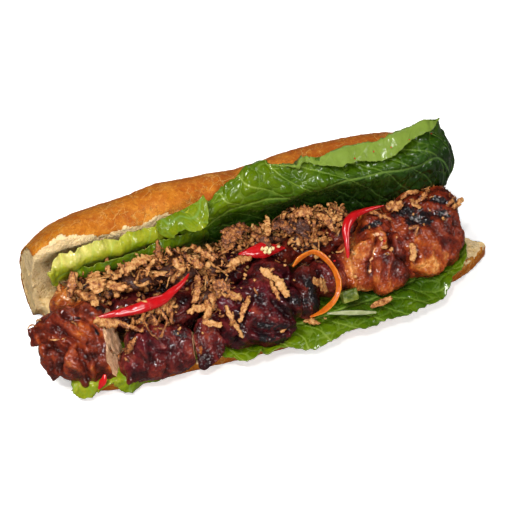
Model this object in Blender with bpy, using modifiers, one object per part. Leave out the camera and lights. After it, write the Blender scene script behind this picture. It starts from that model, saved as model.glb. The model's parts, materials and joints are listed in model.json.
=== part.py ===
"""Open long roll with glazed grilled chicken, salad leaves, crisp fried onions, chilli and a carrot curl.

The roll lies along X with its cut end at low X and its pointed end at high X. The filling shows
towards -Y, and the upper half stands open along its hinge at +Y. Z is up, and the flat underside
of the roll is at Z 0. Sizes are in millimetres, and every mesh is scaled to metres as it is made.
"""

import math
import random

import bmesh
import bpy
from mathutils import Matrix, Vector
from mathutils.bvhtree import BVHTree

MM = 0.001
GAP = 0.45

# The roll: one cut end, one pointed end, the lower half nearly flat and the upper half upright.
LOWER_CUT_X = -117.0
UPPER_CUT_X = -122.0
LOWER_TIP_X = 137.0
UPPER_TIP_X = 122.0
LOWER_HALF_WIDTH = 46.5
LOWER_MIDDLE_Y = 1.5
LOWER_TIP_Y = -9.5
LOWER_TAPER_X = 40.0
FLOOR_FRONT_Z = 9.0
FLOOR_BACK_Z = 14.5
ROLL_STATIONS = 20
HINGE_POINT = (30.0, 2.0)
# Crust of the upper half from lip to hinge as (y, z), at the cut end and along the middle.
END_CRUST = ((13, 60), (20, 59), (29, 53), (38, 44.5), (46, 35), (51, 25), (51.5, 15), (47, 6), (30, 1))
FULL_CRUST = ((12, 70), (17, 76), (26, 78.5), (36, 74), (45.5, 63), (51, 47), (52.5, 30), (50, 13), (30, 1))
# Cut face of the upper half from hinge to lip.
END_CRUMB = ((25, 9), (26, 20), (24, 32), (20, 44), (15, 54))
FULL_CRUMB = ((25, 9), (28, 22), (26, 36), (21, 50), (15, 62))
# How far the upper half reaches up and back, along the x axis.
UPPER_REACH = ((-122, 57.9), (-115, 62.1), (-106, 66.5), (-93, 69.5), (-78, 71.2), (-60, 72.9),
               (-46, 75.3), (-15, 75.3), (0, 73.9), (13, 74.9), (27, 76.8), (49, 77.9), (75, 77.6),
               (91, 76.1), (103, 73.6), (112, 66.0), (118, 56.0), (122, 40.0))
REACH_WAY = (0.666, 0.746)

LEAF_THICK = 1.0
VOXEL = 1.6
CHICKEN_TRIANGLES = 160
HEAP_TRIANGLES = 130


def smoothstep(low, high, value):
    """0 below low, 1 above high, and a smooth rise between them."""
    share = min(1.0, max(0.0, (value - low) / (high - low)))
    return share * share * (3.0 - 2.0 * share)


def mix(a, b, share):
    return a + (b - a) * share


def look_up(table, value):
    """Straight-line reading of a table of pairs."""
    for (x0, y0), (x1, y1) in zip(table, table[1:]):
        if value <= x1:
            return mix(y0, y1, max(0.0, (value - x0) / (x1 - x0)))
    return table[-1][1]


def spline(points, count):
    """count points at even steps along a smooth curve through the given points."""
    points = [Vector(p) for p in points]
    ends = [2 * points[0] - points[1], *points, 2 * points[-1] - points[-2]]
    dense = []
    for i in range(1, len(ends) - 2):
        p0, p1, p2, p3 = ends[i - 1:i + 3]
        for k in range(12):
            t = k / 12
            dense.append(0.5 * (2 * p1 + (p2 - p0) * t + (2 * p0 - 5 * p1 + 4 * p2 - p3) * t * t
                                + (3 * p1 - p0 - 3 * p2 + p3) * t ** 3))
    dense.append(points[-1])
    reach = [0.0]
    for a, b in zip(dense, dense[1:]):
        reach.append(reach[-1] + (b - a).length)
    found = []
    step = 0
    for n in range(count):
        want = reach[-1] * n / (count - 1)
        while step < len(reach) - 2 and reach[step + 1] < want:
            step += 1
        span = max(reach[step + 1] - reach[step], 1e-9)
        found.append(mix(dense[step], dense[step + 1], (want - reach[step]) / span))
    return found


def make_collection(name, hidden=False):
    made = bpy.data.collections.new(name)
    made.hide_render = hidden
    bpy.context.scene.collection.children.link(made)
    return made


def make_material(name, colour, roughness):
    material = bpy.data.materials.new(name)
    material.use_nodes = True
    shader = material.node_tree.nodes["Principled BSDF"]
    shader.inputs["Base Color"].default_value = (*colour, 1.0)
    shader.inputs["Roughness"].default_value = roughness
    shader.inputs["Metallic"].default_value = 0.0
    material.diffuse_color = (*colour, 1.0)
    return material


def add_object(name, mesh, collection, material=None):
    obj = bpy.data.objects.new(name, mesh)
    collection.objects.link(obj)
    if material:
        mesh.materials.clear()
        mesh.materials.append(material)
    return obj


def mesh_of(name, bm):
    """Turns a bmesh in millimetres into a mesh in metres."""
    bmesh.ops.scale(bm, vec=(MM, MM, MM), verts=bm.verts)
    mesh = bpy.data.meshes.new(name)
    bm.to_mesh(mesh)
    bm.free()
    mesh.shade_smooth()
    mesh.set_sharp_from_angle(angle=math.radians(50))
    return mesh


def bake(obj, collection, material=None):
    """Replaces an object by a plain mesh of what its modifiers or its curve make."""
    bpy.context.view_layer.update()
    name = obj.name
    graph = bpy.context.evaluated_depsgraph_get()
    mesh = bpy.data.meshes.new_from_object(obj.evaluated_get(graph))
    bm = bmesh.new()
    bm.from_mesh(mesh)
    bmesh.ops.remove_doubles(bm, verts=bm.verts, dist=1e-7)
    bm.to_mesh(mesh)
    bm.free()
    bpy.data.objects.remove(obj)
    mesh.name = name
    made = add_object(name, mesh, collection, material)
    return made


def keep_largest(mesh):
    """Drops the loose scraps that a cut leaves."""
    bm = bmesh.new()
    bm.from_mesh(mesh)
    left = set(bm.verts)
    islands = []
    while left:
        seed = left.pop()
        island = {seed}
        front = [seed]
        while front:
            vert = front.pop()
            for edge in vert.link_edges:
                other = edge.other_vert(vert)
                if other in left:
                    left.discard(other)
                    island.add(other)
                    front.append(other)
        islands.append(island)
    islands.sort(key=len)
    for island in islands[:-1]:
        bmesh.ops.delete(bm, geom=list(island), context="VERTS")
    bmesh.ops.triangulate(bm, faces=bm.faces)
    bm.to_mesh(mesh)
    bm.free()


def loft(name, rings):
    """A closed skin through rings of equal point count, with a flat cap at each end."""
    bm = bmesh.new()
    rows = [[bm.verts.new(p) for p in ring] for ring in rings]
    count = len(rows[0])
    for a, b in zip(rows, rows[1:]):
        for i in range(count):
            j = (i + 1) % count
            bm.faces.new((a[i], a[j], b[j], b[i]))
    bm.faces.new(rows[0][::-1])
    bm.faces.new(rows[-1])
    bmesh.ops.triangulate(bm, faces=bm.faces)
    bmesh.ops.recalc_face_normals(bm, faces=bm.faces)
    return mesh_of(name, bm)


def lower_plan(x):
    """Middle and half width of the lower half of the roll at x."""
    t = max(0.0, (x - LOWER_TAPER_X) / (LOWER_TIP_X + 1.0 - LOWER_TAPER_X))
    half = LOWER_HALF_WIDTH * (1.0 - t ** 1.35) ** 0.9
    half -= 5.0 * smoothstep(LOWER_CUT_X + 26.0, LOWER_CUT_X, x)
    middle = mix(LOWER_MIDDLE_Y, LOWER_TIP_Y, smoothstep(0.0, LOWER_TIP_X, x))
    return middle, half


def floor_height(x, y):
    """Height of the lower half's cut face, which dips to the front and to the tip."""
    rise = smoothstep(-44.0, 30.0, y)
    return mix(FLOOR_FRONT_Z, FLOOR_BACK_Z, rise) + 0.6 * math.sin(0.07 * x + 0.05 * y)


def lower_ring(x):
    middle, half = lower_plan(x)
    thin = smoothstep(LOWER_TIP_X + 4.0, LOWER_TIP_X - 40.0, x)
    base = 3.0 * (1.0 - thin)
    ring = []
    for i in range(17):
        turn = math.pi * i / 16
        y = middle - half * math.cos(turn)
        depth = (FLOOR_BACK_Z + 3.0) * math.sin(turn) ** 0.55
        ring.append((x, y, max(base, floor_height(x, y) - depth)))
    for i in range(1, 7):
        y = middle + half * math.cos(math.pi * i / 7)
        ring.append((x, y, floor_height(x, y)))
    return ring


def upper_ring(x):
    """Section of the upper half at x, grown from the hinge so that it reaches as far as it should."""
    full = smoothstep(UPPER_CUT_X, -66.0, x)
    outline = [mix(Vector(a), Vector(b), full)
               for a, b in zip(END_CRUST + END_CRUMB, FULL_CRUST + FULL_CRUMB)]
    way, hinge = Vector(REACH_WAY), Vector(HINGE_POINT)
    furthest = max(p.dot(way) for p in outline)
    grow = (look_up(UPPER_REACH, x) - hinge.dot(way)) / (furthest - hinge.dot(way))
    pinch = smoothstep(100.0, 123.0, x)
    centre = Vector((33.0, 24.0))
    ring = []
    crust = spline(outline[:len(END_CRUST)], 17)
    crumb = spline([outline[len(END_CRUST) - 1], *outline[len(END_CRUST):], outline[0]], 9)[1:-1]
    for p in crust + crumb:
        p = hinge + (p - hinge) * grow if p.y > hinge.y else p
        p = mix(p, centre, 0.55 * pinch)
        ring.append((x, p.x, max(0.4, p.y)))
    return ring


def crowded(low, high, count, bunch):
    """Stations that crowd towards the high end, where the roll tapers."""
    return [mix(low, high, 1.0 - (1.0 - i / (count - 1)) ** bunch) for i in range(count)]


def make_roll(collection, cutters, material):
    """Lower and upper half joined along the hinge into one piece of bread."""
    lower_x = crowded(LOWER_CUT_X, LOWER_TIP_X, ROLL_STATIONS, 1.5)
    upper_x = crowded(UPPER_CUT_X, UPPER_TIP_X, ROLL_STATIONS, 1.3)
    roll = add_object("bread_roll", loft("bread_roll", [lower_ring(x) for x in lower_x]),
                      collection, material)
    upper = add_object("upper_half", loft("upper_half", [upper_ring(x) for x in upper_x]), cutters)
    join(roll, upper)
    roll = bake(roll, collection, material)
    bpy.data.objects.remove(upper)
    keep_largest(roll.data)
    return roll


def join(obj, other):
    union = obj.modifiers.new("join", "BOOLEAN")
    union.operation = "UNION"
    union.object = other
    union.solver = "MANIFOLD"


def cut(obj, other):
    difference = obj.modifiers.new("clear_" + other.name, "BOOLEAN")
    difference.operation = "DIFFERENCE"
    difference.object = other
    difference.solver = "MANIFOLD"


def clear_of(obj, taken, collection, material):
    """Cuts the object back from every swollen copy that it meets, and keeps its largest piece."""
    for other in taken:
        if boxes_meet(obj, other):
            cut(obj, other)
    obj = bake(obj, collection, material)
    keep_largest(obj.data)
    return obj


def boxes_meet(a, b):
    low_a, high_a = box_of(a)
    low_b, high_b = box_of(b)
    return all(low_a[i] <= high_b[i] and low_b[i] <= high_a[i] for i in range(3))


def box_of(obj):
    points = [v.co for v in obj.data.vertices]
    return [min(p[i] for p in points) for i in range(3)], [max(p[i] for p in points) for i in range(3)]


def swollen(obj, cutters, by=GAP):
    """A cutter that is the object grown by a small gap all round."""
    mesh = obj.data.copy()
    mesh.name = obj.name + "_clear"
    bm = bmesh.new()
    bm.from_mesh(mesh)
    bm.normal_update()
    moves = [v.normal * v.calc_shell_factor() for v in bm.verts]
    for vert, move in zip(bm.verts, moves):
        vert.co += move.normalized() * min(move.length, 1.6) * by * MM
    bm.to_mesh(mesh)
    bm.free()
    made = add_object(mesh.name, mesh, cutters)
    made.display_type = "WIRE"
    return made


# Leaves: rows of points from the free edge to the buried edge, as many rows as the leaf has bends.
LEAVES = {
    "lettuce_upper_leaf": dict(columns=33, across=8, ruffle=1.5, waves=13, rows=(
        ((-29, 13, 63), (-20, 15, 71), (-10, 17, 78), (10, 20, 81.5), (22, 16, 81), (31, 12, 81),
         (46, 5, 79), (63, 4, 78), (77, 3, 77), (92, 5, 82.5), (106, 8, 87.5), (118, 17, 84)),
        ((-29, 11.5, 62), (-18, 13, 70), (-8, 14, 77), (10, 16, 82), (28, 13, 82.5), (45, 13, 82.5),
         (62, 13, 84), (79, 12, 85), (92, 13, 87), (107, 16, 89.5), (120, 19, 82)),
        ((-28, 10, 60), (-15, 8.5, 68), (-3, 9, 73), (12, 9, 76), (28, 8.5, 77), (44, 9, 76),
         (61, 9, 76), (77, 8, 77), (91, 9.5, 80), (105, 12, 83), (121, 16, 76)),
        ((-27, 11, 56), (-13, 10.5, 60), (0, 8, 62), (15, 7, 63), (30, 5, 67), (45, 3, 69),
         (62, 1, 70), (78, 0, 71), (93, 0, 74), (107, 3, 76), (123, 11, 68)),
        ((-26, 13, 52), (-10, 15, 51), (5, 14, 51), (18, 13, 52), (30, 12, 55), (45, 11, 57),
         (62, 9, 56), (76, 7, 58), (90, 5, 60), (106, 5, 62), (122, 10, 62)),
        ((-25, 17, 45), (-10, 19, 42), (5, 20, 41), (18, 19, 43), (30, 19, 44), (45, 18, 44),
         (62, 16, 44), (74, 14, 47), (86, 12, 49), (102, 9, 51), (117, 10, 56)))),
    "lettuce_upper_frill": dict(columns=25, across=5, ruffle=1.1, waves=10, rows=(
        ((-115, 7, 57), (-107, 8.5, 56.5), (-98, 8.5, 57.5), (-86, 8.5, 58.5), (-75, 8.5, 58),
         (-64, 9, 59.5), (-52, 9, 60.5), (-44, 9, 63), (-36, 9, 67), (-31, 9, 66)),
        ((-115, 5, 50), (-108, 4, 52), (-99, 4, 53), (-88, 4.5, 54), (-77, 4.5, 54),
         (-65, 4.5, 55), (-54, 4.5, 56), (-42, 4.5, 57), (-33, 6, 60), (-31, 7, 60)),
        ((-114, 6, 43), (-103, 9.5, 43), (-93, 11.5, 43), (-82, 12, 42), (-68, 12, 42),
         (-55, 12, 42), (-44, 12, 43), (-35, 12, 46), (-31, 12, 49)))),
    "lettuce_lower_right": dict(columns=31, across=5, ruffle=1.0, waves=12, rows=(
        ((-42, -50.5, 12), (-33, -54, 12), (-19, -54, 12.5), (-4, -55, 12), (12, -56, 10.5),
         (26, -56, 11.5), (38, -55, 12.5), (50, -55, 15), (66, -54, 16.5), (76, -52, 14.5),
         (83, -50, 14.5), (93, -46, 16), (105, -39, 18), (111, -34, 21.5), (118, -27, 24), (121, -19, 27)),
        ((-41, -46.5, 13), (-20, -48, 13), (0, -48.5, 12.5), (20, -48.5, 12.5), (40, -48, 14),
         (60, -46.5, 15.5), (76, -43, 15), (88, -38, 15), (100, -31, 16), (110, -23, 18), (117, -14, 21)),
        ((-39, -36, 12.8), (-20, -36, 12.8), (0, -36, 12.8), (20, -35, 13.3), (40, -34, 13.8),
         (60, -32, 14.3), (76, -29, 14.6), (88, -26, 15), (98, -21, 15.5), (106, -15, 16.5),
         (112, -9, 18)),
        ((-37, -20, 13.6), (-20, -20, 13.8), (0, -20, 13.8), (20, -19, 14), (40, -18, 14.3),
         (60, -17, 14.8), (76, -15, 15.2), (88, -13, 15.4), (96, -11, 15.8), (102, -8, 16.2),
         (107, -4, 17)))),
    "lettuce_lower_left": dict(columns=24, across=5, ruffle=0.6, waves=6, rows=(
        ((-121, -42, 9), (-115, -48, 3.5), (-109, -48.5, 4), (-103, -47.5, 9.5), (-98, -47.5, 11.5),
         (-92, -50, 4.5), (-84, -50, 4.5), (-75, -49.5, 6), (-67, -49, 9), (-60, -48.5, 12),
         (-50, -48, 12.6)),
        ((-119, -41, 12), (-108, -46, 11.5), (-95, -47.3, 11.8), (-80, -47.5, 11.5), (-65, -47, 12),
         (-49, -46, 12.8)),
        ((-116, -35, 13.4), (-100, -37, 13.2), (-82, -38, 13.0), (-64, -38, 12.8), (-48, -38, 12.9)),
        ((-112, -22, 13.8), (-98, -22, 13.8), (-80, -22, 13.8), (-62, -22, 13.8), (-46, -22, 13.8)))),
}


def make_leaf(name, shape, collection, material):
    """A thin wavy sheet through rows of points, ruffled most along its free edge."""
    columns, across = shape["columns"], shape["across"]
    rows = [spline(row, columns) for row in shape["rows"]]
    lines = [spline([row[c] for row in rows], across) for c in range(columns)]
    bm = bmesh.new()
    grid = [[bm.verts.new(p) for p in line] for line in lines]
    faces = []
    for a, b in zip(grid, grid[1:]):
        for i in range(across - 1):
            faces.append(bm.faces.new((a[i], b[i], b[i + 1], a[i + 1])))
    bm.normal_update()
    moves = []
    for c, line in enumerate(grid):
        for i, vert in enumerate(line):
            edge = 1.0 - i / (across - 1)
            wave = math.sin(2.0 * math.pi * shape["waves"] * c / columns + 0.9 * math.sin(0.7 * c))
            moves.append((vert, vert.normal * wave * shape["ruffle"] * edge ** 2))
    for vert, move in moves:
        vert.co += move
    bmesh.ops.triangulate(bm, faces=faces)
    obj = add_object(name, mesh_of(name, bm), collection, material)
    thicken = obj.modifiers.new("thickness", "SOLIDIFY")
    thicken.thickness = LEAF_THICK * MM
    thicken.offset = 0.0
    obj = bake(obj, collection, material)
    bm = bmesh.new()
    bm.from_mesh(obj.data)
    bmesh.ops.triangulate(bm, faces=bm.faces)
    bmesh.ops.recalc_face_normals(bm, faces=bm.faces)
    bm.to_mesh(obj.data)
    bm.free()
    return obj


# Each piece of chicken: its swellings as (centre, radii, turn about X, Y and Z).
CHICKEN = {
    "chicken_left": (
        ((-103, -23, 36), (13, 11, 11), (0, 0, 0)),
        ((-115, -22, 35), (13, 11, 10), (0, 0, 0)),
        ((-127, -19, 31), (9, 9, 9), (0, 0, 0)),
        ((-127, -30, 23), (7, 7, 11), (10, 10, 0)),
        ((-118, -37, 21), (7, 7, 12), (15, 0, 0)),
        ((-108, -40, 18), (8, 6, 12), (15, 0, 0)),
        ((-98, -38, 19), (8, 7, 12), (15, -10, 0)),
        ((-111, -30, 28), (18, 9, 10), (0, 35, -20)),
    ),
    "chicken_left_back": (
        ((-106, -3, 32), (14, 11, 11), (0, -12, 10)),
        ((-95, -6, 34), (12, 10, 9), (0, -5, 0)),
    ),
    "chicken_front_left": (
        ((-75, -39, 25), (14, 11, 13), (0, 0, 0)),
        ((-62, -43, 22), (12, 10, 13), (-20, 0, 5)),
        ((-74, -48, 17), (12, 7, 9), (0, 0, 0)),
        ((-61, -49, 17), (10, 6, 9), (0, 0, 0)),
        ((-85, -42, 17), (8, 7, 10), (-15, 10, 0)),
    ),
    "chicken_front_slice": (
        ((-44, -48, 17), (9, 8, 9), (-15, 15, 0)),
        ((-41, -42, 25), (9, 9, 11), (0, 0, 0)),
    ),
    "chicken_middle": (
        ((-24, -42, 24), (14, 11, 13), (0, 10, 0)),
        ((-7, -45, 20), (14, 9, 11), (-10, 12, 8)),
        ((-13, -32, 31), (15, 12, 12), (0, -10, 0)),
        ((2, -37, 27), (11, 10, 11), (0, 0, 0)),
        ((-28, -30, 31), (12, 11, 12), (0, 0, 0)),
        ((-1, -20, 33), (14, 12, 11), (0, 0, 0)),
    ),
    "chicken_middle_lobe": (
        ((18, -29, 31), (8, 9, 11), (0, 0, 0)),
        ((16, -36, 23), (8, 7, 9), (-25, 0, 0)),
    ),
    "chicken_inner": (
        ((34, -22, 26), (12, 12, 12), (0, 0, 0)),
    ),
    "chicken_centre_right": (
        ((50, -19, 28), (11, 12, 13), (0, 0, 0)),
        ((62, -14, 34), (12, 12, 12), (-15, 10, 0)),
        ((69, -6, 40), (10, 11, 9), (0, 25, 0)),
        ((46, -24, 24), (9, 9, 10), (0, 0, 0)),
    ),
    "chicken_fold_right": (
        ((71, -26, 27), (9, 9, 12), (-10, -10, 0)),
        ((75, -19, 32), (9, 9, 10), (0, 0, 0)),
        ((63, -33, 23), (7, 7, 9), (-15, 15, 0)),
    ),
    "chicken_right": (
        ((86, -13, 32), (14, 14, 14), (0, 0, 0)),
        ((98, -14, 32), (15, 14, 15), (0, 0, 0)),
        ((107, -5, 43), (11, 12, 10), (0, 10, 0)),
        ((93, -2, 41), (14, 12, 11), (0, 0, 0)),
        ((106, -19, 30), (11, 11, 13), (0, 0, 0)),
        ((93, -26, 25), (13, 10, 11), (0, 0, 0)),
        ((79, -4, 36), (11, 12, 12), (0, 0, 0)),
    ),
    "chicken_back_left": (
        ((-82, -3, 29), (15, 12, 11), (0, 0, 4)),
        ((-63, -5, 29), (16, 12, 12), (0, 0, 0)),
        ((-44, -11, 30), (14, 13, 12), (0, 0, 0)),
        ((-79, -18, 30), (14, 12, 11), (0, 0, 0)),
        ((-54, -25, 29), (13, 11, 12), (0, 0, 0)),
    ),
    "chicken_back_middle": (
        ((-20, -6, 33), (15, 13, 13), (0, 0, 0)),
        ((-30, -16, 33), (12, 12, 11), (0, 0, 0)),
    ),
    "chicken_back_right": (
        ((10, 1, 33), (16, 12, 12), (0, 0, 0)),
        ((33, -1, 34), (15, 12, 12), (0, 0, 0)),
        ((50, 0, 36), (11, 11, 11), (0, 0, 0)),
    ),
}

# Heaps of fried onion: the core's swellings, the number of shreds that show on it, and its seed.
HEAPS = {
    "crispy_onions_left": dict(shreds=36, seed=5, lobes=(
        ((-99, -2, 41), (10, 9, 8), (0, 0, 0)),
        ((-89, -5, 40), (14, 12, 9), (0, 0, 0)),
        ((-70, -6, 43), (17, 14, 9), (0, 0, 0)),
        ((-48, -9, 45), (15, 14, 9), (0, 0, 0)),
        ((-57, 1, 44), (16, 9, 8), (0, 0, 0)),
        ((-31, -12, 45), (10, 11, 8), (0, 0, 0)),
        ((-70, -30, 38), (16, 9, 6), (12, 0, 0)),
        ((-38, -30, 40), (12, 8, 6), (12, 0, 0)))),
    "crispy_onions_back": dict(shreds=24, seed=11, lobes=(
        ((-13, -1, 42), (13, 10, 8), (0, 0, 0)),
        ((28, -10, 43), (14, 8, 6), (0, 0, 0)),
        ((6, 0, 43), (15, 10, 8), (0, 0, 0)),
        ((27, 2, 47), (15, 11, 9), (0, 0, 0)),
        ((45, 1, 47), (11, 10, 8), (0, 0, 0)))),
}


def lobe(bm, centre, radii, turn=(0, 0, 0)):
    """Adds one rounded swelling: centre and radii in millimetres, turn in degrees."""
    x, y, z = (math.radians(a) for a in turn)
    rotation = Matrix.Rotation(z, 4, "Z") @ Matrix.Rotation(y, 4, "Y") @ Matrix.Rotation(x, 4, "X")
    size = Matrix.Diagonal((*radii, 1.0))
    bmesh.ops.create_icosphere(bm, subdivisions=3, radius=1.0,
                               matrix=Matrix.Translation(centre) @ rotation @ size)


def make_lump(name, lobes, triangles, collection, material):
    """Swellings blended into one rounded body of about the given number of triangles."""
    bm = bmesh.new()
    for centre, radii, turn in lobes:
        lobe(bm, centre, radii, turn)
    obj = add_object(name, mesh_of(name, bm), collection, material)
    blend = obj.modifiers.new("blend", "REMESH")
    blend.mode = "VOXEL"
    blend.voxel_size = VOXEL * MM
    relax = obj.modifiers.new("relax", "SMOOTH")
    relax.factor = 0.5
    relax.iterations = 3
    obj = bake(obj, collection, material)
    coarse = obj.modifiers.new("coarse", "DECIMATE")
    coarse.ratio = min(1.0, triangles / (2 * len(obj.data.polygons)))
    obj = bake(obj, collection, material)
    keep_largest(obj.data)
    return obj


def shred_mesh(name, length, width, thick, bend, matrix):
    """One curled shred of fried onion: two flat lengths bent into an arc."""
    rings = []
    for i in range(3):
        s = i / 2 - 0.5
        middle = Vector((s * length, 0.0, bend * (0.25 - s * s) * 4.0 - 0.5 * bend))
        w = width * (0.7, 1.0, 0.5)[i] / 2
        t = thick / 2
        corners = ((-w, -t), (w, -t * 0.6), (w, t * 0.6), (-w, t))
        rings.append([matrix @ (middle + Vector((0.0, y, z))) for y, z in corners])
    return loft(name, rings)


def make_heap(name, shape, taken, cutters, collection, material):
    """A lumpy core with curled shreds fused on where they show, cut back from its neighbours."""
    draw = random.Random(shape["seed"])
    core = make_lump(name, shape["lobes"], HEAP_TRIANGLES, collection, material)
    core = clear_of(core, taken, collection, material)
    tree = BVHTree.FromObject(core, bpy.context.evaluated_depsgraph_get())
    low, high = box_of(core)
    shreds = bpy.data.collections.new(name + "_shreds")
    bpy.context.scene.collection.children.link(shreds)
    made = 0
    while made < shape["shreds"]:
        x = draw.uniform(low[0], high[0])
        y = draw.uniform(low[1], high[1])
        hit, normal, _, _ = tree.ray_cast(Vector((x, y, 0.2)), Vector((0, 0, -1)))
        if hit is None or normal.z < 0.05:
            continue
        out = (normal + Vector((0.0, -0.5, 0.2))).normalized()
        along = out.orthogonal().normalized()
        spin = Matrix.Rotation(draw.uniform(0.0, 2.0 * math.pi), 4, out)
        tilt = Matrix.Rotation(draw.uniform(-0.7, 0.7), 4, along)
        face = out.to_track_quat("Z", "Y").to_matrix().to_4x4()
        place = Matrix.Translation(hit / MM + out * draw.uniform(0.2, 1.4)) @ spin @ tilt @ face
        mesh = shred_mesh("shred", draw.uniform(7.0, 12.5), draw.uniform(2.4, 4.6),
                          draw.uniform(1.1, 1.5), draw.uniform(0.6, 2.2), place)
        add_object("shred", mesh, shreds)
        made += 1
    union = core.modifiers.new("shreds", "BOOLEAN")
    union.operation = "UNION"
    union.operand_type = "COLLECTION"
    union.collection = shreds
    union.solver = "MANIFOLD"
    heap = bake(core, collection, material)
    for shred in list(shreds.objects):
        bpy.data.objects.remove(shred)
    bpy.data.collections.remove(shreds)
    return clear_of(heap, taken, collection, material)


def make_rod(name, path, radii, collection, material, squash=1.0, sides=6, rings=11):
    """A round rod along a smooth path, its radius read from the given ones."""
    middle = spline(path, rings)
    sizes = spline([(i, r, 0) for i, r in enumerate(radii)], rings)
    rows = []
    for i, p in enumerate(middle):
        ahead = (middle[min(i + 1, rings - 1)] - middle[max(i - 1, 0)]).normalized()
        side = ahead.cross(Vector((0.25, 0.72, -0.64))).normalized()
        up = side.cross(ahead).normalized()
        r = max(0.35, sizes[i].y)
        rows.append([p + side * r * math.cos(2 * math.pi * k / sides)
                     + up * r * squash * math.sin(2 * math.pi * k / sides) for k in range(sides)])
    return add_object(name, loft(name, rows), collection, material)


CHILLI_LONG = ((-102.2, -31, 43.5), (-90.9, -32.5, 44.6), (-79.9, -33.5, 45.2), (-71.4, -33.5, 46.6),
               (-64.6, -33, 47.2), (-58.1, -31, 49.5), (-51.8, -28, 51.1), (-46.8, -24, 52.6))
CHILLI_SLICE = ((-14.4, -12, 47.4), (-7, -12.3, 47.0), (3, -12, 45.8), (13, -10.5, 43.2))
CHILLI_CURL = ((47, -28, 39.5), (45.5, -21, 47), (48, -13, 52.5), (59, -9, 54), (73, -7, 54.5))
CHILLI_FORK = ((47.4, -15, 51.5), (50, -10, 55.5), (56, -4, 59))
CARROT = ((11, -28, 44.5), (16, -27, 48.5), (24, -26, 49.5), (30, -30, 45.5), (33.5, -36, 39),
          (33.5, -40, 32.5), (29.5, -44, 28), (22, -47, 25), (13.5, -49, 24.5))
STRAND = ((24, -46.5, 22), (33, -48.5, 21.5), (43, -50.5, 20), (51.5, -51.5, 18.5))


def make_strip(name, path, wide, thick, collection, material):
    """A thin peeled strip along a smooth path, its flat side turned out of the curl."""
    rings = 15
    middle = spline(path, rings)
    centre = sum(middle, Vector()) / rings
    rows = []
    for i, p in enumerate(middle):
        ahead = (middle[min(i + 1, rings - 1)] - middle[max(i - 1, 0)]).normalized()
        out = (p - centre)
        out = (out - ahead * out.dot(ahead)).normalized()
        side = ahead.cross(out).normalized()
        w, t = wide / 2, thick / 2
        rows.append([p + side * a * w + out * b * t
                     for a, b in ((-1, -1), (1, -1), (1, 1), (-1, 1))])
    return add_object(name, loft(name, rows), collection, material)


def make_block(name, centre, size, turn, collection, material):
    """A small rounded block."""
    bm = bmesh.new()
    x, y, z = (math.radians(a) for a in turn)
    rotation = Matrix.Rotation(z, 4, "Z") @ Matrix.Rotation(y, 4, "Y") @ Matrix.Rotation(x, 4, "X")
    bmesh.ops.create_cube(bm, size=1.0, matrix=Matrix.Diagonal((*size, 1.0)))
    bmesh.ops.bevel(bm, geom=bm.edges, offset=min(size) * 0.28, segments=2, profile=0.6,
                    affect="EDGES")
    bmesh.ops.transform(bm, matrix=Matrix.Translation(centre) @ rotation, verts=bm.verts)
    bmesh.ops.triangulate(bm, faces=bm.faces)
    return add_object(name, mesh_of(name, bm), collection, material)


def centre_on_origin(collection):
    """Moves every piece so that the middle of the whole stands over the origin."""
    boxes = [box_of(obj) for obj in collection.objects]
    low = [min(box[0][i] for box in boxes) for i in range(3)]
    high = [max(box[1][i] for box in boxes) for i in range(3)]
    for obj in bpy.data.objects:
        obj.location = (-(low[0] + high[0]) / 2, -(low[1] + high[1]) / 2, -low[2])


def main():
    for obj in list(bpy.data.objects):
        bpy.data.objects.remove(obj)
    sandwich = make_collection("grilled_chicken_sandwich")
    cutters = make_collection("cutters", hidden=True)
    crust = make_material("crust", (0.55, 0.25, 0.08), 0.6)
    leaf = make_material("lettuce", (0.12, 0.30, 0.03), 0.4)
    glaze = make_material("glazed_chicken", (0.25, 0.05, 0.02), 0.25)
    onion = make_material("fried_onion", (0.45, 0.22, 0.08), 0.6)
    chilli = make_material("red_chilli", (0.55, 0.01, 0.01), 0.2)
    carrot = make_material("carrot", (0.75, 0.22, 0.02), 0.35)
    pale = make_material("raw_onion", (0.75, 0.72, 0.60), 0.35)
    cucumber = make_material("cucumber", (0.45, 0.60, 0.20), 0.35)
    taken = []

    def keep(obj):
        taken.append(swollen(obj, cutters))
        return obj

    keep(make_roll(sandwich, cutters, crust))
    for name, shape in LEAVES.items():
        keep(clear_of(make_leaf(name, shape, sandwich, leaf), taken, sandwich, leaf))
    keep(make_rod("chilli_long", CHILLI_LONG, (0.5, 2.4, 3.4, 2.9, 0.6), sandwich, chilli))
    keep(make_rod("chilli_slice", CHILLI_SLICE, (1.2, 3.2, 3.4, 1.0), sandwich, chilli, 0.7))
    curl = make_rod("chilli_curl", CHILLI_CURL, (1.8, 2.4, 2.3, 1.3, 0.6), sandwich, chilli)
    keep(curl)
    keep(make_strip("carrot_curl", CARROT, 3.0, 1.1, sandwich, carrot))
    keep(make_rod("raw_onion_strand", STRAND, (0.6, 0.9, 0.9, 0.5), sandwich, pale, 1.0, 5, 6))
    keep(make_block("cucumber_piece", (44, -40, 24), (10, 3.6, 7), (-35, 8, 12), sandwich, cucumber))
    mesh = shred_mesh("onion_shred_front", 14.0, 4.2, 1.4, 1.2,
                      Matrix.Translation((56.5, -46, 18.8)) @ Matrix.Rotation(0.35, 4, "X")
                      @ Matrix.Rotation(0.25, 4, "Z"))
    keep(add_object("onion_shred_front", mesh, sandwich, onion))
    for name, lobes in CHICKEN.items():
        piece = make_lump(name, lobes, CHICKEN_TRIANGLES, sandwich, glaze)
        keep(clear_of(piece, taken, sandwich, glaze))
    for name, shape in HEAPS.items():
        keep(make_heap(name, shape, taken, cutters, sandwich, onion))
    centre_on_origin(sandwich)


main()
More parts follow.
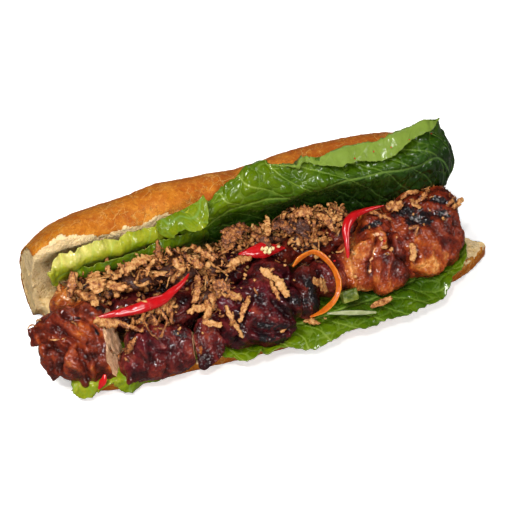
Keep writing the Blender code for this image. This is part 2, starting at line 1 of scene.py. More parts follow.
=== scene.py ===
"""Dresses the long chicken roll: crust and crumb, salad leaves, glazed grilled chicken, fried onions,
chilli, carrot, raw onion and cucumber, with a pale studio floor, soft light and a camera.

Sizes in the tables are millimetres in the maker's own layout, and SHIFT carries them to the frame.
"""

import json
import math
import random
from functools import partial

import bmesh
import bpy
import numpy as np
from bpy.props import FloatProperty, FloatVectorProperty, IntProperty, PointerProperty
from mathutils import Matrix, Vector
from mathutils.kdtree import KDTree

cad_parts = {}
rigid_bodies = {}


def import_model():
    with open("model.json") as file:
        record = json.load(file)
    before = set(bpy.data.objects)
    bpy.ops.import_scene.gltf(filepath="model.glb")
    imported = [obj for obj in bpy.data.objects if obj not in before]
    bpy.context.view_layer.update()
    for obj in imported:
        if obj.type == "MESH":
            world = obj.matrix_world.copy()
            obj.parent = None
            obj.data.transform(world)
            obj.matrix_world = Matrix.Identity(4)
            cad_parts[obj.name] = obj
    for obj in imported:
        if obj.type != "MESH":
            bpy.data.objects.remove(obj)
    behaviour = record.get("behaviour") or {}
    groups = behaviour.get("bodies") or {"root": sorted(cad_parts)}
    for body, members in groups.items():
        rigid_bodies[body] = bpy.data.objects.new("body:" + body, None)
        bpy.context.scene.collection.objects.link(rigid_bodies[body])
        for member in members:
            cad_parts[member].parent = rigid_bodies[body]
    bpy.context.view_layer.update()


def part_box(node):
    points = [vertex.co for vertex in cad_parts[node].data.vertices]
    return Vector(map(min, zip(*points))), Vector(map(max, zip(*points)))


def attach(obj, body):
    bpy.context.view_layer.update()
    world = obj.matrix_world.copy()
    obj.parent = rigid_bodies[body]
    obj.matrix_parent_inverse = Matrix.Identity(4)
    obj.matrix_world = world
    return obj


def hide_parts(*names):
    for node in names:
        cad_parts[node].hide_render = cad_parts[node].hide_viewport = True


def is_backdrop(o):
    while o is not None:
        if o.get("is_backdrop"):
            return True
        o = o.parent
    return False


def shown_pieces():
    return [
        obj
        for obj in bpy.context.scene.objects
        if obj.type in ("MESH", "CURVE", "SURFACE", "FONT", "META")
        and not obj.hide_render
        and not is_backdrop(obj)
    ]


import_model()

bl_info = {
    "name": "Grilled chicken sandwich",
    "version": (1, 0, 0),
    "blender": (4, 5, 0),
    "location": "View3D > Sidebar > Sandwich",
    "description": "Makes the pieces of a filled long roll and a studio to show it in",
    "category": "Add Mesh",
}

MM = 0.001
LOWER_CUT_X, UPPER_CUT_X = -117.0, -122.0
LOWER_TIP_X, UPPER_TIP_X = 137.0, 122.0
LOWER_HALF_WIDTH, LOWER_MIDDLE_Y, LOWER_TIP_Y, LOWER_TAPER_X = 46.5, 1.5, -9.5, 40.0
FLOOR_FRONT_Z, FLOOR_BACK_Z = 9.0, 14.5
HINGE_POINT = (30.0, 2.0)
END_CRUST = ((13, 60), (20, 59), (29, 53), (38, 44.5), (46, 35), (51, 25), (51.5, 15), (47, 6), (30, 1))
FULL_CRUST = ((12, 70), (17, 76), (26, 78.5), (36, 74), (45.5, 63), (51, 47), (52.5, 30), (50, 13), (30, 1))
END_CRUMB = ((25, 9), (26, 20), (24, 32), (19, 44), (12.3, 54))
FULL_CRUMB = ((25, 9), (28, 22), (26, 36), (19.5, 50), (11.2, 63))
UPPER_REACH = ((-122, 57.9), (-115, 62.1), (-106, 66.5), (-93, 69.5), (-78, 71.2), (-60, 72.9),
               (-46, 75.3), (-15, 75.3), (0, 73.9), (13, 74.9), (27, 76.8), (49, 77.9), (75, 77.6),
               (91, 76.1), (103, 73.6), (112, 66.0), (118, 56.0), (122, 40.0))
REACH_WAY = (0.666, 0.746)
ROLL_RINGS = 150
TRACED_RINGS = 420  # finer, for the distances from crust and crumb
LINE_STEPS = 90  # places along each line from a leaf's free edge to its buried edge
TUBE_FACING = Vector((0.25, 0.72, -0.64))
SOFT_GRAIN = 1.4  # of the first, soft skin over a piece of meat
PRESSED = 0.85  # how far a face pressed flat gives way to its plane
ONLY_IN_LOOK = ("lettuce_frill_inner", "lettuce_frill_lobe")

# Leaves: rows of points from the free edge to the buried edge.
LEAVES = {
    "lettuce_upper_leaf": dict(
        ruffle=1.8, wave=15, fine=340, deep=84, seed=3, blister=2.1, bite=(3.2, 1.0),
        round_left=(26, 0.45), round_right=(16, 0.28), rows=(
            ((-34, 10, 63), (-20, 15, 71), (-10, 17, 78), (10, 20, 81.5), (22, 16, 81), (31, 12, 81),
             (46, 5, 79), (63, 4, 78), (77, 3, 77), (92, 5, 82.5), (106, 8, 87.5), (118, 17, 84)),
            ((-38, 7, 62), (-18, 13, 70), (-8, 14, 77), (10, 16, 82), (28, 13, 82.5),
             (45, 13, 82.5), (62, 13, 84), (79, 12, 85), (92, 13, 87), (107, 16, 89.5), (120, 19, 82)),
            ((-44, 3.5, 60), (-15, 8.5, 68), (-3, 9, 73), (12, 9, 76), (28, 8.5, 77), (44, 9, 76),
             (61, 9, 76), (77, 8, 77), (91, 9.5, 80), (105, 12, 83), (121, 16, 76)),
            ((-41, 4, 56), (-13, 10.5, 60), (0, 8, 62), (15, 7, 63), (30, 5, 67), (45, 3, 69),
             (62, 1, 70), (78, 0, 71), (93, 0, 74), (107, 3, 76), (123, 11, 68)),
            ((-34, 8, 51), (-10, 15, 51), (5, 14, 51), (18, 13, 52), (30, 12, 55), (45, 11, 57),
             (62, 8, 55), (76, 5, 56), (90, 2, 57), (106, 2, 58), (122, 8, 58)),
            ((-27, 13, 40), (-10, 15, 37), (5, 16, 36), (18, 16, 37), (30, 16, 38), (45, 15, 38),
             (62, 12, 37), (74, 9, 38), (86, 6, 40), (102, 5, 43), (117, 8, 48)))),
    "lettuce_upper_frill": dict(
        ruffle=2.6, wave=10, fine=300, deep=54, seed=9, blister=0.7, bite=(1.7, 1.7),
        round_left=(5, 0.3), round_right=(10, 0.2), rows=(
            ((-117, 5, 57.5), (-107, 6.5, 60), (-98, 6.5, 62.5), (-86, 6.5, 64), (-75, 6.5, 64),
             (-64, 7, 65.5), (-52, 7, 66.5), (-44, 8, 68), (-36, 9, 70), (-24, 11, 69)),
            ((-117, 2, 51), (-108, 2.5, 53.5), (-99, 2.5, 55), (-88, 3, 56.5), (-77, 3, 56.5),
             (-65, 3, 57.5), (-54, 3.5, 58.5), (-42, 4.5, 59.5), (-33, 6, 62), (-24, 9, 62)),
            ((-115, 2, 43), (-103, 6, 44), (-93, 7, 45), (-82, 8, 45), (-68, 8, 45),
             (-55, 8, 46), (-44, 9, 47), (-35, 9, 48), (-25, 11, 50)),
            ((-113, 8, 36), (-103, 11, 36), (-93, 13, 37), (-82, 13, 37), (-68, 13, 38),
             (-55, 13, 38), (-44, 13, 40), (-35, 13, 42), (-27, 13, 45)))),
    "lettuce_frill_inner": dict(
        ruffle=1.6, wave=9, fine=250, deep=40, seed=33, blister=0.7, bite=(1.2, 1.2),
        round_left=(5, 0.3), round_right=(6, 0.3), rows=(
            ((-103, 1.5, 51.5), (-92, 1, 53.5), (-81, 0.5, 55.5), (-70, 0, 56), (-60, 0, 57.5),
             (-48, 1.5, 60),
             (-36, 4, 59), (-25, 8, 57)),
            ((-102, 0, 46.5), (-92, -0.5, 48), (-81, -1, 49.5), (-70, -1, 50), (-60, -1, 51.5),
             (-48, 0.5, 54),
             (-36, 4, 52), (-25, 8, 50)),
            ((-100, 3, 40), (-90, 3, 41), (-80, 3, 42), (-70, 3, 43), (-60, 3, 44), (-48, 5, 46),
             (-36, 8, 42), (-25, 12, 40)))),
    "lettuce_frill_lobe": dict(
        ruffle=1.3, wave=9, fine=150, deep=44, seed=37, blister=0.8, bite=(1.6, 1.6),
        round_left=(4, 0.3), round_right=(4, 0.3), rows=(
            ((-56, 1, 66), (-53, -0.5, 62.5), (-49.7, -2.5, 60), (-45, -3.5, 64.5),
             (-41.8, -3.5, 66), (-36, -4.5, 63.5),
             (-31, -4, 65), (-27, -1, 69), (-25.5, 2, 73)),
            ((-56, 3.5, 68.5), (-50, 1.5, 66.5), (-43, 0.5, 69.5), (-36, 0.5, 69.5),
             (-30, 2, 71.5), (-26, 5, 74)),
            ((-55, 6, 68.5), (-46, 6.5, 70), (-38, 7, 72), (-27, 9, 75)))),
    "lettuce_lower_right": dict(
        ruffle=1.5, wave=13, fine=340, deep=70, seed=14, blister=1.7, bite=(1.7, 1.5),
        round_left=(8, 0.2), round_right=(10, 0.15), rows=(
            ((-42, -50.5, 12), (-34, -54, 12), (-25, -56.5, 13), (-18, -58, 20.5), (-14, -57.5, 14),
             (-4, -55.5, 12), (12, -57, 9.5), (26, -57, 10.5), (38, -56, 11), (50, -56, 13),
             (66, -55, 14.5), (76, -53, 13), (83, -51, 13), (93, -47, 15), (105, -40, 17),
             (111, -35, 20.5), (118, -27, 24), (121, -19, 27)),
            ((-41, -46.5, 13), (-20, -48, 13), (0, -48.5, 12.5), (20, -48.5, 12.5), (40, -48, 14),
             (60, -46.5, 15.5), (76, -43, 15), (88, -38, 15), (100, -31, 16), (110, -23, 18),
             (117, -14, 21)),
            ((-39, -36, 12.8), (-20, -36, 12.8), (0, -36, 12.8), (20, -35, 13.3), (40, -34, 13.8),
             (60, -32, 14.3), (76, -29, 14.6), (88, -26, 15), (98, -21, 15.5), (106, -15, 16.5),
             (112, -9, 18)),
            ((-37, -20, 13.6), (-20, -20, 13.8), (0, -20, 13.8), (20, -19, 14), (40, -18, 14.3),
             (60, -17, 14.8), (76, -15, 15.2), (88, -13, 15.4), (96, -11, 15.8), (102, -8, 16.2),
             (107, -4, 17)))),
    "lettuce_lower_left": dict(
        ruffle=1.4, wave=10, fine=240, deep=60, seed=21, blister=0.8, bite=(2.0, 2.0),
        round_left=(6, 0.2), round_right=(8, 0.2), rows=(
            ((-121, -42, 9), (-115, -48, 3.5), (-109, -48.5, 4), (-103, -47.5, 9.5),
             (-98, -47.5, 11.5), (-92, -50, 4.5), (-84, -50, 4.5), (-75, -49.5, 6), (-67, -49, 9),
             (-60, -48.5, 12), (-50, -48, 12.6)),
            ((-119, -41, 12), (-108, -46, 11.5), (-95, -47.3, 11.8), (-80, -47.5, 11.5),
             (-65, -47, 12), (-49, -46, 12.8)),
            ((-116, -35, 13.4), (-100, -37, 13.2), (-82, -38, 13.0), (-64, -38, 12.8),
             (-48, -38, 12.9)),
            ((-112, -22, 13.8), (-98, -22, 13.8), (-80, -22, 13.8), (-62, -22, 13.8),
             (-46, -22, 13.8)))),
}

# Each piece of chicken: its swellings as centre, radii and, where it is turned, degrees about X, Y and Z.
CHICKEN = {
    "chicken_left": (
        ((-103, -23, 36), (13, 11, 11)), ((-115, -22, 35), (13, 11, 10)),
        ((-124.5, -19, 31), (9, 9, 8.5)), ((-125, -30, 23), (7, 7, 11), (10, 10, 0)),
        ((-118, -37, 21), (7, 7, 12), (15, 0, 0)), ((-108, -40, 18), (8, 6, 12), (15, 0, 0)),
        ((-98, -38, 19), (8, 7, 12), (15, -10, 0)), ((-111, -30, 28), (18, 9, 10), (0, 35, -20)),
    ),
    "chicken_left_back": (
        ((-106, -3, 32), (14, 11, 11), (0, -12, 10)), ((-95, -6, 34), (12, 10, 9), (0, -5, 0)),
    ),
    "chicken_front_left": (
        ((-75, -39, 25), (14, 11, 13)), ((-62, -43, 22), (12, 10, 13), (-20, 0, 5)),
        ((-74, -48, 17), (12, 7, 9)), ((-61, -49, 17), (10, 6, 9)),
        ((-85, -42, 17), (8, 7, 10), (-15, 10, 0)),
    ),
    "chicken_front_slice": (
        ((-44, -48, 17), (9, 8, 9), (-15, 15, 0)), ((-41, -42, 25), (9, 9, 11)),
    ),
    "chicken_middle": (
        ((-24, -42, 24), (14, 11, 13), (0, 10, 0)), ((-7, -45, 20), (14, 9, 11), (-10, 12, 8)),
        ((-13, -32, 31), (15, 12, 12), (0, -10, 0)), ((2, -37, 27), (11, 10, 11)),
        ((-28, -30, 31), (12, 11, 12)), ((-1, -20, 33), (14, 12, 11)),
    ),
    "chicken_middle_lobe": (
        ((18, -29, 31), (8, 9, 11)), ((16, -36, 23), (8, 7, 9), (-25, 0, 0)),
    ),
    "chicken_inner": (
        ((34, -22, 26), (12, 12, 12)),
    ),
    "chicken_centre_right": (
        ((50, -19, 28), (11, 12, 13)), ((62, -14, 34), (12, 12, 12), (-15, 10, 0)),
        ((69, -6, 40), (10, 11, 9), (0, 25, 0)), ((46, -24, 24), (9, 9, 10)),
    ),
    "chicken_fold_right": (
        ((71, -26, 27), (9, 9, 12), (-10, -10, 0)), ((75, -19, 32), (9, 9, 10)),
        ((63, -33, 23), (7, 7, 9), (-15, 15, 0)),
    ),
    "chicken_right": (
        ((86, -13, 32), (14, 14, 14)), ((98, -14, 32), (15, 14, 15)),
        ((107, -5, 43), (11, 12, 10), (0, 10, 0)), ((93, -2, 41), (14, 12, 11)),
        ((106, -19, 30), (11, 11, 13)), ((93, -26, 25), (13, 10, 11)), ((79, -4, 36), (11, 12, 12)),
    ),
    "chicken_back_left": (
        ((-82, -3, 29), (15, 12, 11), (0, 0, 4)), ((-63, -5, 29), (16, 12, 12)),
        ((-44, -11, 30), (14, 13, 12)), ((-79, -18, 30), (14, 12, 11)), ((-54, -25, 29), (13, 11, 12)),
    ),
    "chicken_back_middle": (
        ((-20, -6, 33), (15, 13, 13)), ((-30, -16, 33), (12, 12, 11)),
    ),
    "chicken_back_right": (
        ((10, 1, 33), (16, 12, 12)), ((33, -1, 34), (15, 12, 12)), ((50, 0, 36), (11, 11, 11)),
    ),
}

# Torn ends of the meat: from, to, and the thickness at both.
TORN = {
    "chicken_left": (((-131, -23, 33), (-135.5, -25, 29.5), 3.6, 1.1),
                     ((-130, -31, 31), (-133, -32.5, 28), 3.2, 1.1),
                     ((-127, -37, 18), (-128.7, -38, 12.5), 3.4, 1.1),
                     ((-112, -43, 14), (-112.5, -45, 9.5), 3.2, 1.1),
                     ((-133, -20, 33), (-135.5, -18, 35), 3.0, 1.1)),
    "chicken_left_back": (((-113, -4, 38), (-119, -6, 41), 3.4, 0.9),
                          ((-110, 2, 38), (-113, 5, 43), 3.2, 0.9)),
    "chicken_front_left": (((-87, -47, 13), (-91, -50, 8), 3.4, 0.9),),
    "chicken_front_slice": (((-46, -52, 12), (-47, -55, 8), 3.0, 0.8),),
    "chicken_fold_right": (((78, -30, 22), (83, -32, 21), 2.6, 0.8),),
}

# Extra body, faces pressed flat, and faces cut open: a point on each and the way it faces.
BODY = {
    "chicken_left": (((-95, -34, 22), (9, 10, 12)), ((-97, -40, 15), (8, 7, 8)),
                     ((-95, -31, 32), (8, 8, 8))),
    "chicken_front_left": (((-57, -46, 21), (8, 8, 11)), ((-68, -46, 20), (17, 8, 12)),
                           ((-84, -46, 14), (7, 6, 8))),
    "chicken_front_slice": (((-48, -48, 24), (6, 7, 8)), ((-49, -51, 14), (4.5, 4.5, 6)),
                            ((-38, -44, 25), (8, 7, 7))),
    "chicken_middle": (((-16, -44, 24), (14, 9, 11), (0, 10, 0)),),
    "chicken_centre_right": (((55, -27, 25), (9, 7, 9)), ((57, -22, 34), (10, 9, 11))),
    "chicken_fold_right": (((70, -31, 23), (9, 7, 8)), ((67, -28, 30), (8, 7, 9))),
    "chicken_right": (((104, -24, 24), (9, 8, 9)), ((84, -26, 23), (8, 7, 8)),
                      ((84, -20, 32), (9, 9, 11)), ((101, -20, 36), (12, 10, 11)),
                      ((108, -12, 38), (9, 11, 11))),
}
FLATS = {
    "chicken_front_left": (((-70, -52, 23.7), (0.05, -0.80, 0.60)),),
    "chicken_front_slice": (((-42, -50, 19.0), (0.05, -0.80, 0.60)),
                            ((-41, -50, 14), (0.55, -0.15, -0.80))),
    "chicken_right": (((95, -31, 28.6), (0.10, -0.86, 0.50)),),
    "chicken_centre_right": (((53, -32, 27), (0.0, -0.86, 0.50)),),
    "chicken_fold_right": (((70, -36, 26), (0.05, -0.86, 0.50)),),
    "chicken_middle": (((-12, -51, 25), (0.05, -0.86, 0.50)),),
}
CUTS = {
    "chicken_left": (((-95.3, -38.6, 23.5), (0.80, -0.52, 0.30)),),
    "chicken_front_left": (((-52.5, -47, 22), (0.95, -0.28, 0.12)),),
    "chicken_front_slice": (((-51.4, -47, 22), (-0.95, 0.28, -0.12)),),
}

# Creases in the meat: depth, half width and line.
CREASES = (
    (2.2, 1.5, ((-124, -24, 42), (-121, -30, 42), (-118, -33, 39), (-115, -35, 37), (-112, -38, 34),
                (-111, -41, 30), (-110, -45, 27))),
    (2.0, 1.4, ((-130, -27, 34), (-127, -32, 33), (-124, -35, 32), (-122, -37, 31))),
    (1.8, 1.4, ((-119, -36, 34), (-122, -38, 30), (-124, -40, 26), (-124, -37, 16))),
    (2.2, 1.4, ((-113, -39, 32), (-113, -44, 27), (-112, -45, 21), (-110, -44, 13))),
    (1.5, 1.2, ((-118, -21, 45), (-115, -27, 44), (-108, -30, 43), (-105, -33, 41), (-101, -34, 34),
                (-98, -37, 30))),
    (1.2, 1.3, ((-108, -38, 33), (-107, -43, 30), (-106, -46, 24), (-106, -45, 16))),
    (1.6, 1.3, ((-127, -32, 33), (-129, -36, 29), (-128, -37, 21))),
    (1.3, 1.6, ((-78, -49, 31), (-72, -50, 27), (-67, -51, 26))),
    (1.5, 1.5, ((-76, -49, 32), (-78, -52, 24), (-81, -53, 17))),
    (1.2, 1.5, ((-66, -50, 30), (-68, -53, 22), (-71, -55, 16))),
    (2.6, 1.8, ((7, -29, 37), (4, -40, 37), (5, -46, 30), (8, -46, 20))),
    (2.0, 1.7, ((-27, -46, 34), (-26, -50, 31), (-28, -52, 28), (-31, -52, 20))),
    (2.2, 1.6, ((-23, -51, 31), (-16, -52, 24), (-6, -53, 23), (2, -51, 20))),
    (1.6, 1.5, ((-6, -41, 36), (-2, -46, 32), (2, -48, 26))),
    (1.6, 1.6, ((-18, -40, 39), (-21, -44, 36), (-24, -47, 34))),
    (3.2, 1.5, ((65, -20, 44), (61, -24, 41), (59, -25, 37), (57, -28, 33), (55, -30, 27), (56, -27, 16))),
    (2.4, 1.7, ((72, -17, 41), (71, -24, 40), (73, -30, 36), (78, -30, 30), (83, -25, 18))),
    (1.7, 1.8, ((85, -11, 47), (91, -17, 45), (96, -22, 44), (100, -26, 40), (102, -29, 34))),
    (1.5, 1.4, ((96, -4, 51), (103, -9, 52), (108, -12, 50))),
    (1.4, 1.7, ((83, -21, 43), (84, -26, 37), (84, -30, 31))),
    (1.4, 1.6, ((111, -16, 44), (110, -24, 41), (108, -29, 36))),
)

# Where the meat is charred, where the glaze is thin and orange, and where flesh shows: strength,
# reach and line.
CHAR = (
    (1.0, 1.5, ((-115, -27, 45), (-108, -30, 44), (-105, -33, 42), (-101, -34, 35), (-99, -36, 31))),
    (0.9, 4.0, ((-97, -26, 46), (-93, -27, 42))), (0.8, 3.0, ((-62, -45, 33), (-58, -48, 31))),
    (0.75, 5.5, ((7, -43, 34), (14, -41, 28))), (0.9, 5.0, ((17, -36, 38), (20, -38, 32), (19, -40, 25))),
    (0.7, 7.0, ((86, -15, 46), (98, -16, 47), (106, -16, 46))),
    (0.6, 5.0, ((110, -20, 40), (108, -24, 36))),
    (0.85, 4.5, ((-17, -50, 31), (-10, -52, 27), (-2, -53, 24))),
    (0.8, 5.0, ((-15, -53, 21), (-6, -53, 17), (3, -50, 13))),
    (0.8, 3.0, ((55, -11, 45), (61, -12, 46), (68, -12, 47))),
    (0.75, 5.0, ((78, -8, 48), (86, -8, 48), (93, -12, 47), (95, -19, 46))),
    (0.95, 3.5, ((102, -8, 52), (107, -11, 51))), (0.5, 4.0, ((108, -3, 52), (114, -4, 49))),
)
WARM = (
    (0.24, 8.0, ((-112, -33, 40), (-122, -30, 40))), (0.20, 9.0, ((-118, -42, 30), (-108, -46, 27))),
    (0.35, 12.0, ((-108, -4, 42),)), (0.24, 12.0, ((49, -26, 44), (47, -28, 37), (46, -31, 28))),
    (0.22, 9.0, ((51, -30, 31), (46, -32, 20))), (0.30, 5.0, ((66, -20, 45), (63, -24, 41))),
    (0.30, 7.0, ((58, -34, 26), (62, -38, 22))),
    (0.34, 8.0, ((83, -31, 27), (91, -33, 28), (101, -31, 29))),
    (0.30, 7.0, ((86, -27, 36), (92, -36, 22))),
    (0.45, 3.0, ((16, -37, 36),)), (0.45, 3.2, ((-17, -44, 35),)),
    (0.30, 4.0, ((-96, -37, 30), (-98, -44, 20))),
)
PALE = (
    (0.85, 1.6, ((62, -19, 45), (65, -18, 44))), (0.7, 1.1, ((61, -24, 40), (57, -28, 33), (56, -30, 27))),
    (0.55, 5.0, ((-112, -6, 42), (-104, -10, 43))), (0.5, 2.0, ((-49, -48, 28), (-50, -52, 20))),
)

# Each piece of meat: how thin its glaze is, how plum its colour is, and the way its grain runs.
MEAT = {
    "chicken_left": (0.45, 0.06, (0.55, -0.45, -0.70)),
    "chicken_left_back": (0.62, 0.0, (0.9, 0.1, -0.3)),
    "chicken_front_left": (0.46, 0.70, (0.35, -0.4, -0.85)),
    "chicken_front_slice": (0.48, 0.7, (0.2, -0.4, -0.9)),
    "chicken_middle": (0.36, 0.80, (0.65, -0.5, -0.55)),
    "chicken_middle_lobe": (0.34, 0.45, (0.2, -0.6, -0.8)),
    "chicken_inner": (0.36, 0.5, (0.3, -0.5, -0.8)),
    "chicken_centre_right": (0.60, 0.1, (0.1, -0.6, -0.8)),
    "chicken_fold_right": (0.46, 0.2, (-0.2, -0.6, -0.8)),
    "chicken_right": (0.50, 0.06, (0.5, -0.5, -0.7)),
    "chicken_back_left": (0.28, 0.6, (1, 0, 0)),
    "chicken_back_middle": (0.25, 0.7, (1, 0, 0)),
    "chicken_back_right": (0.32, 0.3, (1, 0, 0)),
}

# Heaps of fried onion: the swellings of each core.
HEAPS = {
    "crispy_onions_left": (
        ((-99, -2, 41), (10, 9, 8)), ((-89, -5, 40), (14, 12, 9)), ((-70, -6, 43), (17, 14, 9)),
        ((-48, -9, 45), (15, 14, 9)), ((-57, 1, 44), (16, 9, 8)), ((-31, -12, 45), (10, 11, 8)),
        ((-70, -30, 38), (16, 9, 6), (12, 0, 0)), ((-38, -30, 40), (12, 8, 6), (12, 0, 0)),
    ),
    "crispy_onions_back": (
        ((-13, -1, 42), (13, 10, 8)), ((28, -10, 43), (14, 8, 6)), ((6, 0, 43), (15, 10, 8)),
        ((27, 2, 47), (15, 11, 9)), ((45, 1, 47), (11, 10, 8)),
    ),
}

# The flakes of fried onion that stand out: width, how brown, and the line each follows.
FLAKES = (
    (4.6, 0.06, ((-6, -23, 45), (-2, -30, 43.5), (1, -37, 41), (2.5, -44, 38))),
    (3.0, 0.50, ((-4, -33, 43), (-3.5, -39, 40.5), (-1, -44, 36))),
    (2.8, 0.28, ((-32, -40, 39), (-31, -47, 35.5), (-28.5, -52, 31), (-27, -54, 26))),
    (3.9, 0.20, ((-47, -45, 35), (-42, -48, 36), (-37, -49, 35))),
    (2.8, 0.42, ((-18, -39, 41), (-23, -45, 38), (-28, -50, 34.5))),
    (4.2, 0.30, ((-53, -37, 38), (-47, -38, 40), (-42, -38, 41))),
    (5.4, 0.30, ((-29, -35, 44.5), (-26, -38, 43), (-23, -41, 41))),
    (4.6, 0.40, ((-25, -19, 48), (-16, -17, 48), (-8, -15, 46.5))),
    (1.5, 0.18, ((-33, -19, 53), (-29, -22, 50), (-25, -25, 46))),
    (5.2, 0.34, ((-35, -28, 48), (-31, -32, 46), (-28, -36, 44))),
    (1.5, 0.38, ((-76, -31, 47), (-77, -38, 43), (-76, -46, 38), (-71, -49, 37),
                 (-66, -43, 41), (-67, -37, 45),
                 (-71, -33, 47))),
    (1.8, 0.30, ((-78, -30, 48), (-75, -33, 49), (-72, -36, 46))),
    (2.6, 0.30, ((-94, -31, 42), (-87, -37, 40), (-79, -44, 39))),
    (3.0, 0.45, ((-84, -45, 36.5), (-87, -46, 32), (-90, -46, 27))),
    (6.4, 0.36, ((-102, -32, 45), (-96, -34, 43), (-89, -35, 40))),
    (3.6, 0.15, ((-102, -25, 49), (-98, -25, 49.5))),
    (2.2, 0.30, ((-60, -31, 44), (-62, -38, 42.5), (-63, -43, 38))),
    (2.6, 0.52, ((64, -6, 52), (70, -11, 51), (74, -15, 48))),
    (4.2, 0.22, ((82, -27, 40), (82, -31, 36), (79.5, -34, 33))),
    (2.2, 0.32, ((82, -22, 47), (87, -22, 47.5), (85, -25, 43))),
    (6.4, 0.44, ((75, -5, 51.5), (80, -7, 52.5), (84, -8, 52))),
    (2.6, 0.36, ((85, -2, 53), (91, -3, 55), (97, -1, 54))),
    (2.8, 0.36, ((91, -9, 53), (96, -8, 55.5), (102, -3, 55))),
    (3.8, 0.34, ((111, -16, 49), (116, -13, 49), (120, -11, 50))),
    (7.2, 0.36, ((19, -38, 38.5), (26, -35, 33), (30, -32, 26))),
    (3.0, 0.32, ((12, -42, 17), (16, -45, 17), (20, -47, 17))),
    (3.6, 0.62, ((-105, -14, 47), (-100, -20, 48), (-95, -21, 48.5))),
    (4.0, 0.60, ((-105, -2, 54), (-107, -7, 50), (-110, -13, 46))),
    (9.0, 0.30, ((-93, -3, 52), (-95, -11, 51), (-96, -19, 49))),
    (3.4, 0.34, ((-84, 4, 54), (-86, -5, 50), (-82, -11, 51), (-78, -6, 55))),
    (5.5, 0.28, ((-79, -12, 55), (-70, -8, 56), (-62, -6, 55))),
    (3.0, 0.38, ((-56, 0, 60), (-58, -5, 56), (-57, -12, 54))),
    (2.6, 0.40, ((-61, -8, 54.5), (-66, -13, 54), (-69, -17, 52))),
    (3.6, 0.42, ((-39, -5, 56), (-36, -14, 56.5), (-31, -20, 54.5))),
    (8.0, 0.72, ((-21, -5, 52), (-13, -2, 54), (-5, 2, 55))),
    (3.4, 0.40, ((8, 4, 56), (5, -4, 57), (3, -11, 55))),
    (4.2, 0.40, ((-42, -23, 49.5), (-44, -31, 47), (-48, -35, 42))),
    (4.2, 0.26, ((-107, -9, 47), (-103, -17, 49), (-97, -24, 49))),
    (4.4, 0.26, ((-91, -12, 49), (-85, -17, 50), (-80, -19, 50))),
    (3.8, 0.34, ((-87, -26, 42), (-82, -34, 45), (-76, -34, 45))),
    (3.2, 0.30, ((-15, -17, 46), (-20, -19, 46.5), (-25, -22, 45.5))),
    (4.6, 0.36, ((-44, -12, 55), (-41, -18, 55), (-38, -21, 52))),
    (4.2, 0.42, ((-41, -37, 43.5), (-42, -41, 39), (-45, -44, 36))),
    (6.0, 0.68, ((7, -3, 54), (14, -4, 54), (19, -8, 52))),
    (8.5, 0.66, ((-14, 2, 56), (-16, -2, 53), (-18, -6, 48.5))),
    (9.0, 0.82, ((26.3, -4, 54.5), (23.8, -8, 51), (20.8, -11.5, 45.5))),
    (6.0, 0.22, ((22, -1, 56), (28, -1, 58), (33, -2, 57))),
    (5.0, 0.50, ((-4, -4, 53), (1, -9, 52), (3, -14, 48.5))),
    (4.6, 0.30, ((34, -4, 56), (39, -7, 54), (41, -12, 49))),
)

# Crumbs of fried onion: size and place.
CRUMBS = (
    (2.2, (65, -23, 45)), (2.6, (66, -26, 41)), (1.5, (45, -22, 42)), (2.4, (28, -20, 40)),
    (1.8, (46, -33, 31)), (2.0, (-16, -27, 45.5)), (1.6, (-12, -31, 44)), (1.3, (-30, -46, 38.5)),
    (1.8, (-77, -31, 49)), (2.0, (-98, -25, 49)), (1.2, (-61, -47, 34)), (1.4, (10, -33, 39)),
    (1.1, (74, -24, 44)), (1.3, (88, -14, 49)), (1.2, (98, -14, 49)), (1.5, (8, -24, 43)),
    (1.4, (17, -16, 46)), (1.2, (35, -22, 40)), (1.1, (55, -23, 44)), (1.6, (24, -45, 17)),
)

CHILLI_LONG = ((-102.2, -31, 43.6), (-90.9, -32.5, 44.9), (-79.9, -33.5, 45.6), (-71.4, -33.5, 46.9),
               (-64.6, -33, 47.5), (-58.1, -31, 49.8), (-51.8, -28, 51.4), (-46.8, -24, 53.0))
CHILLI_SLICE = ((-14.4, -12, 47.6), (-7, -12.3, 47.4), (3, -12, 46.2), (13, -10.5, 43.4))
CHILLI_CURL = ((43.6, -28, 41), (45, -22, 47), (47.5, -15, 52.5), (53, -11, 54.8),
               (62, -8, 54.6), (73, -7, 54.2))
CHILLI_FORK = ((49, -13.5, 53.4), (54, -8.5, 54.6), (60.5, -5, 53))
CARROT = ((11, -28, 44.5), (16, -27, 48.5), (24, -26, 49.5), (30, -30, 45.5), (33.5, -36, 39),
          (33.5, -40, 32.5), (29.5, -44, 28), (22, -47, 25), (13.5, -49, 24.5))
CHILLI_BIT = ((-106.5, -48.5, 9.5), (-105, -48.3, 12), (-103.2, -47.8, 15), (-102.4, -47, 17.5))
SEEDS = ((2.6, (0.4, -14.6, 49.2)), (2.2, (2.8, -15.0, 48.6)), (2.4, (1.6, -16.0, 47.8)),
         (2.0, (-1.6, -14.2, 49.8)), (2.2, (4.6, -14.2, 48.4)), (1.8, (-0.6, -15.8, 48.4)),
         (1.8, (8.6, -12.4, 47.2)))
FLECKS = ((1.0, (71, 6, 83)), (0.8, (81, 5, 84)), (1.1, (92, 5.5, 86)), (0.8, (107, 9, 84)),
          (0.9, (60, 6, 81)), (1.2, (33, -34, 47)), (1.6, (67, -23, 43)),
          (1.2, (114, -14, 46)), (1.0, (-20, -45, 36)))
SHRED_FRONT = ((49.8, -47.6, 19.2), (54, -47, 20.2), (59, -45.6, 19.6), (63.4, -44.6, 20.4))
STRAND = ((24, -46.5, 22), (33, -48.5, 21.5), (43, -50.5, 20), (51.5, -51.5, 18.5))


# Plain sums

def fade(low, high, value):
    """0 below low, 1 above high, and a smooth rise between them."""
    share = np.clip((value - low) / (high - low), 0.0, 1.0)
    return share * share * (3.0 - 2.0 * share)


